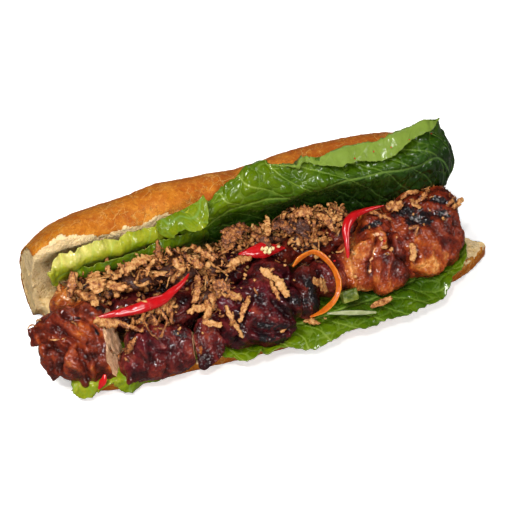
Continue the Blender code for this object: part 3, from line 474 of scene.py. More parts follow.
def mix(a, b, share):
    return a + (b - a) * share


def look_up(table, value):
    """The table's second column at a value of its first."""
    return float(np.interp(value, [row[0] for row in table], [row[1] for row in table]))


def spline(points, count):
    """count points at even steps along a smooth curve through the given points."""
    points = [Vector(p) for p in points]
    ends = [2 * points[0] - points[1], *points, 2 * points[-1] - points[-2]]
    dense = []
    for i in range(1, len(ends) - 2):
        p0, p1, p2, p3 = ends[i - 1:i + 3]
        for k in range(12):
            t = k / 12
            dense.append(0.5 * (2 * p1 + (p2 - p0) * t + (2 * p0 - 5 * p1 + 4 * p2 - p3) * t * t
                                + (3 * p1 - p0 - 3 * p2 + p3) * t ** 3))
    dense.append(points[-1])
    reach = [0.0]
    for a, b in zip(dense, dense[1:]):
        reach.append(reach[-1] + (b - a).length)
    found = []
    step = 0
    for n in range(count):
        want = reach[-1] * n / (count - 1)
        while step < len(reach) - 2 and reach[step + 1] < want:
            step += 1
        span = max(reach[step + 1] - reach[step], 1e-9)
        found.append(mix(dense[step], dense[step + 1], (want - reach[step]) / span))
    return found


def ahead_at(line, i):
    """The way a line runs at its place i."""
    return (line[min(i + 1, len(line) - 1)] - line[max(i - 1, 0)]).normalized()


# Noise over arrays of points in millimetres

EDGES = np.array([(1, 1, 0), (-1, 1, 0), (1, -1, 0), (-1, -1, 0), (1, 0, 1), (-1, 0, 1), (1, 0, -1),
                  (-1, 0, -1), (0, 1, 1), (0, -1, 1), (0, 1, -1), (0, -1, -1)], float)


def scramble(cell, seed):
    """A large whole number for each cell of a grid, the same on every run."""
    h = (cell[:, 0] * 73856093) ^ (cell[:, 1] * 19349663) ^ (cell[:, 2] * 83492791) ^ (seed * 40503)
    h = (h ^ (h >> 13)) * 1274126177
    return (h ^ (h >> 16)) & 0xFFFFFFF


def waves(points, size, seed=0):
    """Smooth noise from about -1 to 1 whose swells are about the given size across."""
    p = np.asarray(points, float) / size + 31.7
    base = np.floor(p).astype(np.int64)
    f = p - base
    s = f * f * f * (f * (f * 6.0 - 15.0) + 10.0)
    total = np.zeros(len(p))
    for corner in np.ndindex(2, 2, 2):
        c = np.array(corner)
        slope = EDGES[scramble(base + c, seed) % 12]
        weight = np.prod(np.where(c == 1, s, 1.0 - s), axis=1)
        total += weight * np.einsum("ij,ij->i", slope, f - c)
    return total * 1.5


def layered(points, size, seed=0, layers=3):
    """Noise of several sizes, each half the one before."""
    total, part, reach = 0.0, 1.0, 0.0
    for i in range(layers):
        total = total + part * waves(points, size / 2 ** i, seed + 13 * i)
        reach += part
        part *= 0.5
    return total / reach


def drift(points, size, seed, layers=1):
    """Three noises side by side, to push points about."""
    return np.stack([layered(points, size, seed + i, layers) for i in range(3)], 1)


def cells(points, size, seed=0):
    """Distance to the nearest and the second nearest of scattered seeds, in seed spacings, and whose."""
    p = np.asarray(points, float) / size
    base = np.floor(p).astype(np.int64)
    first = np.full(len(p), 9.0)
    second = np.full(len(p), 9.0)
    owner = np.zeros(len(p))
    for offset in np.ndindex(3, 3, 3):
        cell = base + np.array(offset) - 1
        h = scramble(cell, seed)
        place = np.stack([(h & 255) / 255.0, ((h >> 8) & 255) / 255.0, ((h >> 16) & 255) / 255.0], 1)
        away = np.linalg.norm(cell + place - p, axis=1)
        near = away < first
        second = np.where(near, first, np.minimum(second, away))
        owner = np.where(near, (h >> 4 & 1023) / 1023.0, owner)
        first = np.minimum(first, away)
    return first, second, owner


# Meshes

def lower_plan(x):
    """Middle and half width of the lower half of the roll at x."""
    t = max(0.0, (x - LOWER_TAPER_X) / (LOWER_TIP_X + 1.0 - LOWER_TAPER_X))
    half = LOWER_HALF_WIDTH * (1.0 - t ** 1.35) ** 0.9
    half -= 5.0 * (1.0 - fade(LOWER_CUT_X, LOWER_CUT_X + 26.0, x))
    middle = mix(LOWER_MIDDLE_Y, LOWER_TIP_Y, fade(0.0, LOWER_TIP_X, x))
    return middle, half


def crowded(low, high, count, bunch):
    """Steps from low to high that crowd towards high."""
    return [mix(low, high, 1.0 - (1.0 - i / (count - 1)) ** bunch) for i in range(count)]


ROLL_FRONT = min(lower_plan(x)[0] - lower_plan(x)[1] for x in crowded(LOWER_CUT_X, LOWER_TIP_X, 20, 1.5))
ROLL_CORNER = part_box("bread_roll")[0]
SHIFT = np.array([ROLL_CORNER[0] / MM - UPPER_CUT_X, ROLL_CORNER[1] / MM - ROLL_FRONT, 0.0])


def points_of(mesh):
    """Vertex places in millimetres of the maker's layout."""
    flat = np.empty(len(mesh.vertices) * 3)
    mesh.vertices.foreach_get("co", flat)
    return flat.reshape(-1, 3) / MM - SHIFT


def normals_of(mesh):
    flat = np.empty(len(mesh.vertices) * 3)
    mesh.vertex_normals.foreach_get("vector", flat)
    return flat.reshape(-1, 3)


def move_points(mesh, points):
    mesh.vertices.foreach_set("co", ((points + SHIFT) * MM).ravel())
    mesh.update()


def paint(mesh, name, values):
    """Stores one number for each vertex, for the material to read."""
    layer = mesh.attributes.new(name, "FLOAT", "POINT")
    layer.data.foreach_set("value", np.ascontiguousarray(values, np.float32))


def mesh_from(name, points, faces):
    """A smooth-shaded mesh from points in millimetres of the layout."""
    mesh = bpy.data.meshes.new(name)
    mesh.from_pydata((np.asarray(points, float) + SHIFT) * MM, [], faces)
    mesh.shade_smooth()
    mesh.update()
    return mesh


def shown(name, mesh, material):
    obj = bpy.data.objects.new(name, mesh)
    bpy.context.scene.collection.objects.link(obj)
    mesh.materials.clear()
    mesh.materials.append(material)
    return obj


def plain(obj):
    """Turns what the modifiers make of an object into its own plain mesh."""
    graph = bpy.context.evaluated_depsgraph_get()
    mesh = bpy.data.meshes.new_from_object(obj.evaluated_get(graph))
    obj.modifiers.clear()
    old, obj.data = obj.data, mesh
    mesh.name = obj.name
    bpy.data.meshes.remove(old)
    return obj


def blended(name, mesh, voxel, relax, material):
    """One skin over everything in the mesh that overlaps."""
    obj = shown(name, mesh, material)
    blend = obj.modifiers.new("blend", "REMESH")
    blend.mode = "VOXEL"
    blend.voxel_size = voxel * MM
    blend.use_smooth_shade = True
    if relax:
        soft = obj.modifiers.new("relax", "SMOOTH")
        soft.factor = 0.5
        soft.iterations = relax
    plain(obj)
    obj.data.materials.clear()
    obj.data.materials.append(material)
    return obj


def belongs(obj, slot, *nodes):
    """Ties a finished piece to the frame."""
    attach(obj, "root")
    if nodes:
        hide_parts(*nodes)
    return obj


def finished(name, mesh, material, slot, *nodes):
    return belongs(shown(name, mesh, material), slot, *nodes)


def lobes_mesh(name, lobes, detail=4, shrink=0.0):
    """Overlapping ellipsoids in one mesh, for blended to make one skin of."""
    bm = bmesh.new()
    for centre, radii, *turn in lobes:
        x, y, z = (math.radians(a) for a in (turn[0] if turn else (0, 0, 0)))
        rotation = (Matrix.Rotation(z, 4, "Z") @ Matrix.Rotation(y, 4, "Y")
                    @ Matrix.Rotation(x, 4, "X"))
        size = Matrix.Diagonal((*[r - shrink for r in radii], 1.0))
        place = Matrix.Translation(Vector(centre) + Vector(SHIFT))
        bmesh.ops.create_icosphere(bm, subdivisions=detail, radius=1.0, matrix=place @ rotation @ size)
    bmesh.ops.scale(bm, vec=(MM, MM, MM), verts=bm.verts)
    mesh = bpy.data.meshes.new(name)
    bm.to_mesh(mesh)
    bm.free()
    return mesh


def rod_faces(rings, sides, way=1):
    """Faces of a rod of rings, closed at both ends. With way -1 its sides wind the other way."""
    sheet = [(i * sides + k, i * sides + (k + 1) % sides, (i + 1) * sides + (k + 1) % sides,
              (i + 1) * sides + k)[::way] for i in range(rings - 1) for k in range(sides)]
    last = rings * sides - 1
    return sheet + [tuple(range(sides)), tuple(range(last, last - sides, -1))]


def tube(path, radii, rings, sides, squash):
    """Points and faces of a rod along a path, with each vertex's share along and turn around."""
    middle = spline(path, rings)
    sizes = spline([(i, r, 0) for i, r in enumerate(radii)], rings)
    points, along, turn = [], [], []
    for i, p in enumerate(middle):
        ahead = ahead_at(middle, i)
        side = ahead.cross(TUBE_FACING).normalized()
        up = side.cross(ahead).normalized()
        r = max(0.3, sizes[i].y)
        for k in range(sides):
            a = 2 * math.pi * k / sides
            points.append(p + side * r * math.cos(a) + up * r * squash * math.sin(a))
            along.append(i / (rings - 1))
            turn.append(a)
    return np.array(points), rod_faces(rings, sides, -1), np.array(along), np.array(turn)


def sheet_faces(columns, across):
    """Faces of a thin closed sheet: the points of its top, then of its underside, and a rim between."""
    count = columns * across
    faces = []
    for i in range(columns - 1):
        for j in range(across - 1):
            a = i * across + j
            faces.append((a, a + across, a + across + 1, a + 1))
            faces.append((count + a, count + a + 1, count + a + across + 1, count + a + across))
    rim = [i * across for i in range(columns)]
    rim += [(columns - 1) * across + j for j in range(1, across)]
    rim += [i * across + across - 1 for i in range(columns - 2, -1, -1)]
    rim += list(range(across - 2, 0, -1))
    return faces + [(a, b, count + b, count + a) for a, b in zip(rim, rim[1:] + rim[:1])]


def outward(mesh):
    """Turns a closed mesh's faces outwards."""
    bm = bmesh.new()
    bm.from_mesh(mesh)
    bmesh.ops.recalc_face_normals(bm, faces=bm.faces)
    bm.to_mesh(mesh)
    bm.free()
    mesh.update()


# Materials

def feed(tree, socket, value):
    """Links a socket to another node's output, or gives it a value of its own."""
    if hasattr(value, "links"):
        tree.links.new(value, socket)
    elif socket.type == "RGBA":
        socket.default_value = (*value, 1.0)
    else:
        socket.default_value = value


def new_node(tree, kind, *feeds, **settings):
    """A node of a tree with its settings, and with what each of its inputs is fed."""
    node = tree.nodes.new(kind)
    for key, value in settings.items():
        setattr(node, key, value)
    for key, value in feeds:
        feed(tree, node.inputs[key], value)
    return node


class Finish:
    """A material in the making: each method adds a node and hands back its output."""

    def __init__(self, name, roughness=0.5, specular=0.5, coat=0.0, coat_roughness=0.1, subsurface=0.0,
                 radius=(1.0, 0.4, 0.2), scale=0.002):
        self.material = bpy.data.materials.new(name)
        self.material.use_nodes = True
        self.tree = self.material.node_tree
        self.shader = self.tree.nodes["Principled BSDF"]
        for key, value in (("Roughness", roughness), ("Specular IOR Level", specular), ("Coat Weight", coat),
                           ("Coat Roughness", coat_roughness), ("Subsurface Weight", subsurface),
                           ("Subsurface Radius", radius), ("Subsurface Scale", scale)):
            self.shader.inputs[key].default_value = value
        self.place = new_node(self.tree, "ShaderNodeTexCoord").outputs["Object"]

    def noise(self, size_mm, detail=3.0, rough=0.55, distortion=0.0, stretch=None):
        at = self.place
        if stretch:
            at = new_node(self.tree, "ShaderNodeMapping", ("Scale", stretch),
                          ("Vector", at)).outputs["Vector"]
        return new_node(self.tree, "ShaderNodeTexNoise", ("Scale", 1000.0 / size_mm), ("Detail", detail),
                        ("Roughness", rough), ("Distortion", distortion), ("Vector", at)).outputs["Fac"]

    def pits(self, size_mm, feature="F1", wander=None):
        at = self.place
        if wander is not None:
            at = new_node(self.tree, "ShaderNodeVectorMath", (0, wander), (1, (size_mm * MM,) * 3), (2, at),
                          operation="MULTIPLY_ADD").outputs[0]
        return new_node(self.tree, "ShaderNodeTexVoronoi", ("Scale", 1000.0 / size_mm), ("Vector", at),
                        feature=feature).outputs["Distance"]

    def value(self, name):
        return new_node(self.tree, "ShaderNodeAttribute", attribute_name=name).outputs["Fac"]

    def sum_of(self, how, a, b):
        return new_node(self.tree, "ShaderNodeMath", (0, a), (1, b), operation=how).outputs[0]

    def add(self, a, b):
        return self.sum_of("ADD", a, b)

    def times(self, a, b):
        return self.sum_of("MULTIPLY", a, b)

    def spread(self, value, low, high, to_low=0.0, to_high=1.0):
        return new_node(self.tree, "ShaderNodeMapRange", ("Value", value), ("From Min", low),
                        ("From Max", high), ("To Min", to_low), ("To Max", to_high)).outputs["Result"]

    def swing(self, low, high, *noise):
        """Noise that runs from low to high."""
        return self.spread(self.noise(*noise), 0.3, 0.7, low, high)

    def ramp(self, value, *stops):
        node = new_node(self.tree, "ShaderNodeValToRGB", ("Fac", value))
        elements = node.color_ramp.elements
        while len(elements) < len(stops):
            elements.new(0.5)
        for element, (place, colour) in zip(elements, stops):
            element.position = place
            element.color = (*colour, 1.0)
        return node.outputs["Color"]

    def blend(self, share, a, b, how="MIX"):
        return new_node(self.tree, "ShaderNodeMix", ("Factor", share), (6, a), (7, b), data_type="RGBA",
                        blend_type=how).outputs[2]

    def bump(self, height, depth_mm, strength):
        return new_node(self.tree, "ShaderNodeBump", ("Distance", depth_mm * MM), ("Strength", strength),
                        ("Height", height)).outputs["Normal"]

    def wear(self, **inputs):
        """Feeds the shader's inputs, named with _ for a space, and hands back the material."""
        for key, value in inputs.items():
            feed(self.tree, self.shader.inputs[key.replace("_", " ")], value)
        return self.material


def crust_and_crumb(settings):
    f = Finish("crust_and_crumb", specular=0.10, subsurface=0.05, scale=0.0015)
    crumb = f.value("crumb")
    edge = f.add(crumb, f.swing(-0.3, 0.3, 1.6, 2))
    open_share = f.spread(edge, 0.42, 0.58)
    toast = f.add(f.value("toast"), f.swing(-0.26, 0.26, 11, 5, 0.62, 0.4))
    crust = f.ramp(toast, (0.0, (0.60, 0.25, 0.022)), (0.3, tuple(settings.crust_light)),
                   (0.65, tuple(settings.crust_mid)), (1.0, tuple(settings.crust_dark)))
    flake = f.spread(f.noise(2.6, 5, 0.72, 0.8), 0.50, 0.60, 0.0, 0.7)
    crust = f.blend(flake, crust, f.ramp(toast, (0.0, (0.66, 0.30, 0.035)), (1.0, (0.46, 0.13, 0.010))))
    speck = f.spread(f.noise(1.7, 4, 0.75), 0.54, 0.64, 0.0, 0.75)
    crust = f.blend(speck, crust, (0.27, 0.07, 0.006))
    crack = f.spread(f.pits(6.0, "DISTANCE_TO_EDGE", f.noise(2.6, 4, 0.7)), 0.0, 0.05, 1.0, 0.0)
    crack = f.times(crack, f.spread(f.noise(14, 3), 0.44, 0.58))
    crust = f.blend(f.times(crack, 0.75), crust, (0.78, 0.42, 0.12))
    # Pores are painted darker than the crumb: painted shade in the holes.
    pore = f.value("pore")
    inside = f.ramp(f.add(pore, f.swing(-0.2, 0.2, 1.1, 3)),
                    (0.0, tuple(settings.crumb_colour)), (0.55, (0.76, 0.52, 0.22)),
                    (1.0, (0.50, 0.28, 0.09)))
    colour = f.blend(open_share, crust, inside)
    rough = f.blend(open_share, f.ramp(f.noise(3, 3), (0.3, (0.36,) * 3), (0.7, (0.56,) * 3)),
                    (0.85, 0.85, 0.85))
    skin = f.add(f.times(f.noise(2.2, 5, 0.68, 0.8), 0.8), f.times(crack, -0.5))
    holes = f.add(f.pits(1.3), f.noise(0.7, 3))
    height = f.blend(open_share, skin, holes)
    return f.wear(Base_Color=colour, Roughness=rough, Normal=f.bump(height, 0.55, 0.9))


def leaf_finish(name, tints_and_shades, back):
    """Waxy leaf: its tint runs 0 to 1 along the ramp, from pale green to a near-black green whose dark end
    is painted shade, with pale veins and a paler underside.
    """
    f = Finish(name, specular=0.10, coat=0.32, coat_roughness=0.08, subsurface=0.05,
               radius=(0.6, 1.0, 0.15), scale=0.0012)
    tint = f.add(f.value("tint"), f.swing(-0.12, 0.12, 9, 4, 0.6))
    green = f.ramp(tint, *tints_and_shades)
    mottle = f.spread(f.noise(1.2, 4, 0.7), 0.4, 0.75, 0.0, 0.45)
    green = f.blend(mottle, green, (0.35, 0.45, 0.30), "MULTIPLY")
    pale = f.ramp(tint, (0.0, (0.46, 0.52, 0.12)), (0.5, (0.20, 0.31, 0.04)), (1.0, (0.08, 0.16, 0.035)))
    vein = f.value("vein")
    green = f.blend(f.spread(vein, 0.12, 0.95), green, pale)
    under = f.blend(f.swing(0.0, 0.35, 5, 4, 0.6), back, tuple(0.6 * c for c in back))
    under = f.blend(f.spread(vein, 0.3, 1.0, 0.0, 0.5), under, tuple(min(1.0, 1.35 * c) for c in back))
    green = f.blend(f.value("under"), green, under)
    height = f.add(f.times(f.noise(1.6, 4, 0.6), 0.7), f.times(f.sum_of("SUBTRACT", 1.0, vein), 0.4))
    rough = f.add(f.swing(0.24, 0.40, 4, 3), f.times(f.value("under"), 0.22))
    return f.wear(Base_Color=green, Roughness=rough, Normal=f.bump(height, 0.35, 0.6))


def glazed_meat(settings):
    f = Finish("glazed_meat", specular=0.05, coat=0.50, coat_roughness=0.05, subsurface=0.03,
               radius=(1.0, 0.25, 0.1), scale=0.0015)
    # Low values are dark glaze and painted shade in the creases and fold valleys. High ones are thin orange
    # glaze and a painted highlight on the fold ridges.
    warm = f.add(f.value("warm"), f.swing(-0.12, 0.12, 4, 4, 0.6))
    brown = f.ramp(warm, (0.0, (0.012, 0.003, 0.002)), (0.28, tuple(settings.glaze_dark)),
                   (0.5, tuple(settings.glaze_mid)), (0.72, (0.32, 0.055, 0.008)),
                   (0.88, tuple(settings.glaze_light)), (1.0, (0.72, 0.33, 0.10)))
    purple = f.ramp(warm, (0.0, (0.005, 0.001, 0.003)), (0.25, (0.022, 0.001, 0.004)),
                    (0.5, (0.090, 0.006, 0.012)), (0.75, (0.24, 0.040, 0.030)), (1.0, (0.45, 0.15, 0.07)))
    glaze = f.blend(f.value("plum"), brown, purple)
    streak = f.noise(1.3, 5, 0.65, 0.5)
    glaze = f.blend(f.spread(streak, 0.48, 0.75, 0.0, 0.55), glaze, (0.030, 0.005, 0.004))
    char = f.add(f.value("char"), f.swing(-0.30, 0.30, 2.4, 5, 0.7))
    glaze = f.blend(f.spread(char, 0.55, 0.80), glaze, (0.008, 0.006, 0.007))
    flesh = f.add(f.value("pale"), f.swing(-0.22, 0.22, 2.2, 4, 0.6))
    meat = f.ramp(f.noise(1.2, 4, 0.7, 0.0, (1.0, 1.0, 0.3)), (0.3, (0.40, 0.17, 0.07)),
                  (0.6, tuple(settings.flesh)), (0.8, (0.80, 0.55, 0.36)))
    edge = f.spread(flesh, 0.30, 0.52)
    colour = f.blend(f.spread(flesh, 0.50, 0.62), f.blend(edge, glaze, (0.42, 0.12, 0.02)), meat)
    rough = f.swing(0.20, 0.50, 1.4, 4, 0.7)
    height = f.add(f.times(f.noise(1.8, 5, 0.68, 0.6), 0.9), f.times(f.noise(0.7, 3, 0.6), 0.4))
    return f.wear(Base_Color=colour, Roughness=rough, Normal=f.bump(height, 0.5, 0.8),
                  Coat_Normal=f.bump(f.noise(2.4, 2, 0.5, 0.5), 0.5, 0.8))


def fried_shreds(settings):
    f = Finish("fried_onion", specular=0.25, coat=0.10, coat_roughness=0.2, subsurface=0.06,
               radius=(1.0, 0.5, 0.2), scale=0.001)
    toast = f.add(f.value("toast"), f.spread(f.noise(1.9, 5, 0.7), 0.37, 0.63, -0.42, 0.40))
    toast = f.add(toast, f.times(f.value("rim"), 0.28))
    colour = f.ramp(toast, (0.0, tuple(settings.pale_shred)), (0.34, (0.43, 0.17, 0.045)),
                    (0.66, tuple(settings.brown_shred)), (1.0, (0.045, 0.012, 0.006)))
    height = f.add(f.noise(1.1, 4, 0.65), f.times(f.pits(1.0), 0.5))
    return f.wear(Base_Color=colour, Roughness=f.swing(0.34, 0.62, 1.5, 3), Normal=f.bump(height, 0.5, 0.9))


def chilli_skin():
    f = Finish("chilli_skin", specular=0.3, coat=0.40, coat_roughness=0.12, subsurface=0.06,
               radius=(1.0, 0.1, 0.05), scale=0.001)
    shade = f.add(f.value("pale"), f.swing(-0.1, 0.1, 4, 3))
    colour = f.ramp(shade, (0.0, (0.34, 0.003, 0.006)), (0.30, (0.52, 0.007, 0.009)),
                    (0.6, (0.62, 0.06, 0.03)), (1.0, (0.85, 0.42, 0.22)))
    return f.wear(Base_Color=colour, Roughness=f.swing(0.12, 0.26, 3, 3),
                  Normal=f.bump(f.noise(2.6, 3), 0.25, 0.4))


def moist_strip(name, *stops):
    f = Finish(name, specular=0.3, coat=0.25, coat_roughness=0.12, subsurface=0.12,
               radius=(1.0, 0.6, 0.3), scale=0.0012)
    shade = f.add(f.value("pale"), f.swing(-0.2, 0.2, 3.0, 4, 0.6))
    return f.wear(Base_Color=f.ramp(shade, *stops), Roughness=f.swing(0.2, 0.4, 2, 3),
                  Normal=f.bump(f.noise(1.5, 4), 0.2, 0.5))


# The roll

def floor_height(x, y):
    """Height of the lower half's cut face, on which the filling lies."""
    rise = fade(-44.0, 30.0, y)
    return mix(FLOOR_FRONT_Z, FLOOR_BACK_Z, rise) + 0.6 * np.sin(0.07 * x + 0.05 * y)


def lower_ring(x):
    """Crust and cut face of the lower half at x."""
    middle, half = lower_plan(x)
    thin = fade(LOWER_TIP_X - 40.0, LOWER_TIP_X + 4.0, x)
    crust = []
    for i in range(61):
        turn = math.pi * i / 60
        y = middle - half * math.cos(turn)
        y += 3.0 * float(fade(-5, 30, x) * (1 - fade(100, 125, x))) * max(0.0, math.cos(turn))
        depth = (FLOOR_BACK_Z + 3.0) * math.sin(turn) ** 0.55 if 0 < i < 60 else 0.0
        crust.append((x, y, max(3.0 * thin, float(floor_height(x, y)) - depth)))
    crumb = []
    for i in range(1, 40):
        y = middle + half * math.cos(math.pi * i / 40)
        crumb.append((x, y, float(floor_height(x, y))))
    return crust, crumb


def upper_ring(x):
    """Crust and cut face of the upper half at x."""
    full = float(fade(UPPER_CUT_X, -66.0, x))
    outline = [mix(Vector(a), Vector(b), full)
               for a, b in zip(END_CRUST + END_CRUMB, FULL_CRUST + FULL_CRUMB)]
    way, hinge = Vector(REACH_WAY), Vector(HINGE_POINT)
    furthest = max(p.dot(way) for p in outline)
    grow = (look_up(UPPER_REACH, x) - hinge.dot(way)) / (furthest - hinge.dot(way))
    pinch = 0.55 * float(fade(100.0, 123.0, x))
    centre = Vector((33.0, 24.0))
    crusty = len(END_CRUST)
    crust = spline(outline[:crusty], 80)
    crumb = spline([*outline[crusty - 1:], outline[0]], 50)[1:-1]
    found = []
    for ring in (crust, crumb):
        placed = []
        for p in ring:
            p = hinge + (p - hinge) * grow if p.y > hinge.y else p
            p = mix(p, centre, pinch)
            placed.append((x, p.x, max(0.4, p.y)))
        found.append(placed)
    return found


def loft_into(points, faces, rings):
    """Adds a closed skin through rings of equally many points."""
    start = len(points)
    count = len(rings[0])
    for ring in rings:
        points.extend(ring)
    for r in range(len(rings) - 1):
        for i in range(count):
            j = (i + 1) % count
            a = start + r * count
            faces.append((a + i, a + j, a + count + j, a + count + i))
    faces.append(tuple(start + i for i in range(count))[::-1])
    faces.append(tuple(start + (len(rings) - 1) * count + i for i in range(count)))


def nearest(tree, points):
    """Distance of each point from the nearest in the tree."""
    return np.array([tree.find(p)[2] for p in points])


def tree_of(points):
    tree = KDTree(len(points))
    for i, p in enumerate(points):
        tree.insert(p, i)
    tree.balance()
    return tree


def make_roll(settings):
    points, faces, crusts, crumbs = [], [], [], []
    for ring, low, high in ((lower_ring, LOWER_CUT_X, LOWER_TIP_X),
                            (upper_ring, UPPER_CUT_X, UPPER_TIP_X)):
        rings = [ring(x) for x in crowded(low, high, ROLL_RINGS, 1.3)]
        loft_into(points, faces, [crust + crumb for crust, crumb in rings])
        for crust, crumb in (ring(x) for x in crowded(low, high, TRACED_RINGS, 1.3)):
            crusts.extend(crust)
            crumbs.extend(crumb)
    mesh = mesh_from("bread_roll", points, faces)
    outward(mesh)
    roll = blended("bread_roll", mesh, settings.grain, 2, crust_and_crumb(settings))
    mesh = roll.data
    p, n = points_of(mesh), normals_of(mesh)
    to_crust, to_crumb = nearest(tree_of(crusts), p), nearest(tree_of(crumbs), p)
    x, y, z = p.T
    ragged = 1.7 * waves(p, 9, 4) + 1.2 * waves(p, 4, 5) + 0.6 * waves(p, 1.8, 6)
    ragged *= 0.35 + 0.65 * fade(-119, -108, x)
    lip = fade(50, 57, z) * (1 - fade(-18, 0, x))
    inside = np.clip(to_crust, 0, 9) - np.clip(to_crumb, 0, 9) + ragged
    inside += lip * (1.8 * waves(p, 14, 8) + 0.6)
    cut_end = (n[:, 0] < -0.6) & (x < -113)
    inside = np.where(cut_end, 2.0 * (np.clip(to_crust, 0, 5) - 1.0 + 0.2 * ragged), inside)
    crumb = fade(-0.5, 0.5, inside)
    first, _, owner = cells(p + 0.8 * drift(p, 3, 30), 3.0, 2)
    small, _, little = cells(p, 1.7, 12)
    pore = fade(0.15, 0.6, 0.62 - first) * (owner > 0.45)
    pore += 0.6 * fade(0.1, 0.5, 0.5 - small) * (little > 0.4)
    rise = 0.55 * layered(p, 7, 20, 3) + settings.pore_depth * (0.15 - pore)
    skin = 0.5 * waves(p, 22, 40) + 0.30 * layered(p, 6, 41, 3) + 0.16 * waves(p, 2.6, 47) + 0.35
    wrinkle = 0.18 * (1.0 - np.abs(waves(p * np.array([1.0, 1.6, 1.6]), 5, 44))) ** 3
    rim = np.exp(-np.abs(inside) / 1.5) * 0.45
    puffed = 1.1 * lip * np.exp(-to_crust / 4.0)
    height = mix(skin + wrinkle + rim, rise - 0.55 + puffed, crumb)
    height *= fade(0.0, 2.5, z) * 0.9 + 0.1
    height[(z < 0.6) & (n[:, 2] < -0.8)] = 0.0
    moved = p + n * height[:, None]
    moved[:, 2] = np.maximum(moved[:, 2], 0.0)
    move_points(mesh, moved)
    paint(mesh, "crumb", crumb)
    # The crumb of the cut end is painted darker towards its bottom: painted shade.
    pore += 0.25 * layered(p, 9, 50, 2) + 0.30 * fade(42, 14, z) * fade(-95, -112, x)
    paint(mesh, "pore", np.clip(pore, 0, 1))
    toast = 0.46 + 0.30 * layered(p, 30, 60, 3) + 0.04 * fade(-60, 60, x) + 0.08 * fade(30, 75, z)
    toast -= 0.35 * np.exp(-np.clip(-inside, 0, 20) / 2.2) * (inside < 0)
    toast += 0.28 * fade(14, 2, z)
    paint(mesh, "toast", np.clip(toast, 0, 1))
    return belongs(roll, "bread", "bread_roll")


# The leaves

def leaf_surface(shape):
    """A fine grid over the leaf's rows, rounded at its ends, with places along it and from its margin."""
    columns, across = shape["fine"], shape["deep"]
    rows = [spline(row, columns) for row in shape["rows"]]
    lines = np.array([[tuple(p) for p in spline([row[c] for row in rows], LINE_STEPS)]
                      for c in range(columns)])
    step = np.linalg.norm(np.diff(lines[:, LINE_STEPS // 2], axis=0), axis=1)
    along = np.concatenate([[0.0], np.cumsum(step)])
    width = np.linalg.norm(np.diff(lines, axis=1), axis=2).sum(axis=1)
    first = np.zeros(columns)
    for away, (reach, share) in ((along, shape["round_left"]), (along[-1] - along, shape["round_right"])):
        near = np.clip(1.0 - away / reach, 0.0, 1.0)
        first = np.maximum(first, share * (1.0 - np.sqrt(1.0 - near ** 2)))
    grid = np.empty((columns, across, 3))
    for c in range(columns):
        at = (first[c] + (1.0 - first[c]) * np.linspace(0, 1, across)) * (LINE_STEPS - 1)
        for axis in range(3):
            grid[c, :, axis] = np.interp(at, np.arange(LINE_STEPS), lines[c, :, axis])
    share = first[:, None] + (1.0 - first[:, None]) * np.linspace(0, 1, across)
    along = along[:, None] * np.ones(across)
    from_edge = (share - first[:, None]) * width[:, None]
    from_end = np.minimum(along, along[-1, 0] - along)
    return grid, along, share * width[:, None], share, np.minimum(from_edge, from_end + 1.0), from_end


def grid_normals(grid):
    du = np.gradient(grid, axis=0)
    dv = np.gradient(grid, axis=1)
    n = np.cross(du, dv)
    return n / np.maximum(np.linalg.norm(n, axis=2, keepdims=True), 1e-9)


def vein_map(along, deep, seed, lean, spacing, rib, mesh_size):
    """Strength of the veins and swell of the leaf between them."""
    a, b = along.ravel(), deep.ravel()
    flat = np.stack([a, b, np.zeros_like(a) + seed * 50.0], 1)
    phase = (a + lean * b + 3.2 * waves(flat, 24, seed)) / spacing
    side = np.abs(phase - np.round(phase)) * spacing / math.sqrt(1 + lean * lean)
    main = np.abs(b - rib(a) + 1.6 * waves(flat, 26, seed + 3))
    warp = flat + 1.6 * np.stack([waves(flat, 6, seed + 5), waves(flat, 6, seed + 6), 0 * a], 1)
    first, second, _ = cells(warp, mesh_size, seed + 1)
    net = (second - first) * mesh_size / 2
    fine_first, fine_second, _ = cells(warp, 2.6, seed + 2)
    fine = (fine_second - fine_first) * 1.3
    vein = np.maximum.reduce([np.exp(-(main / 0.75) ** 2), 0.75 * np.exp(-(side / 0.36) ** 2),
                              0.36 * np.exp(-(net / 0.26) ** 2), 0.12 * np.exp(-(fine / 0.22) ** 2)])
    dome = np.sqrt(np.clip(net / (0.36 * mesh_size), 0, 1)) * (0.55 + 0.45 * fade(0, 2.2, side))
    dome *= fade(0, 2.4, main)
    dome += 0.16 * np.sqrt(np.clip(fine, 0, 1))
    return vein.reshape(along.shape), dome.reshape(along.shape)


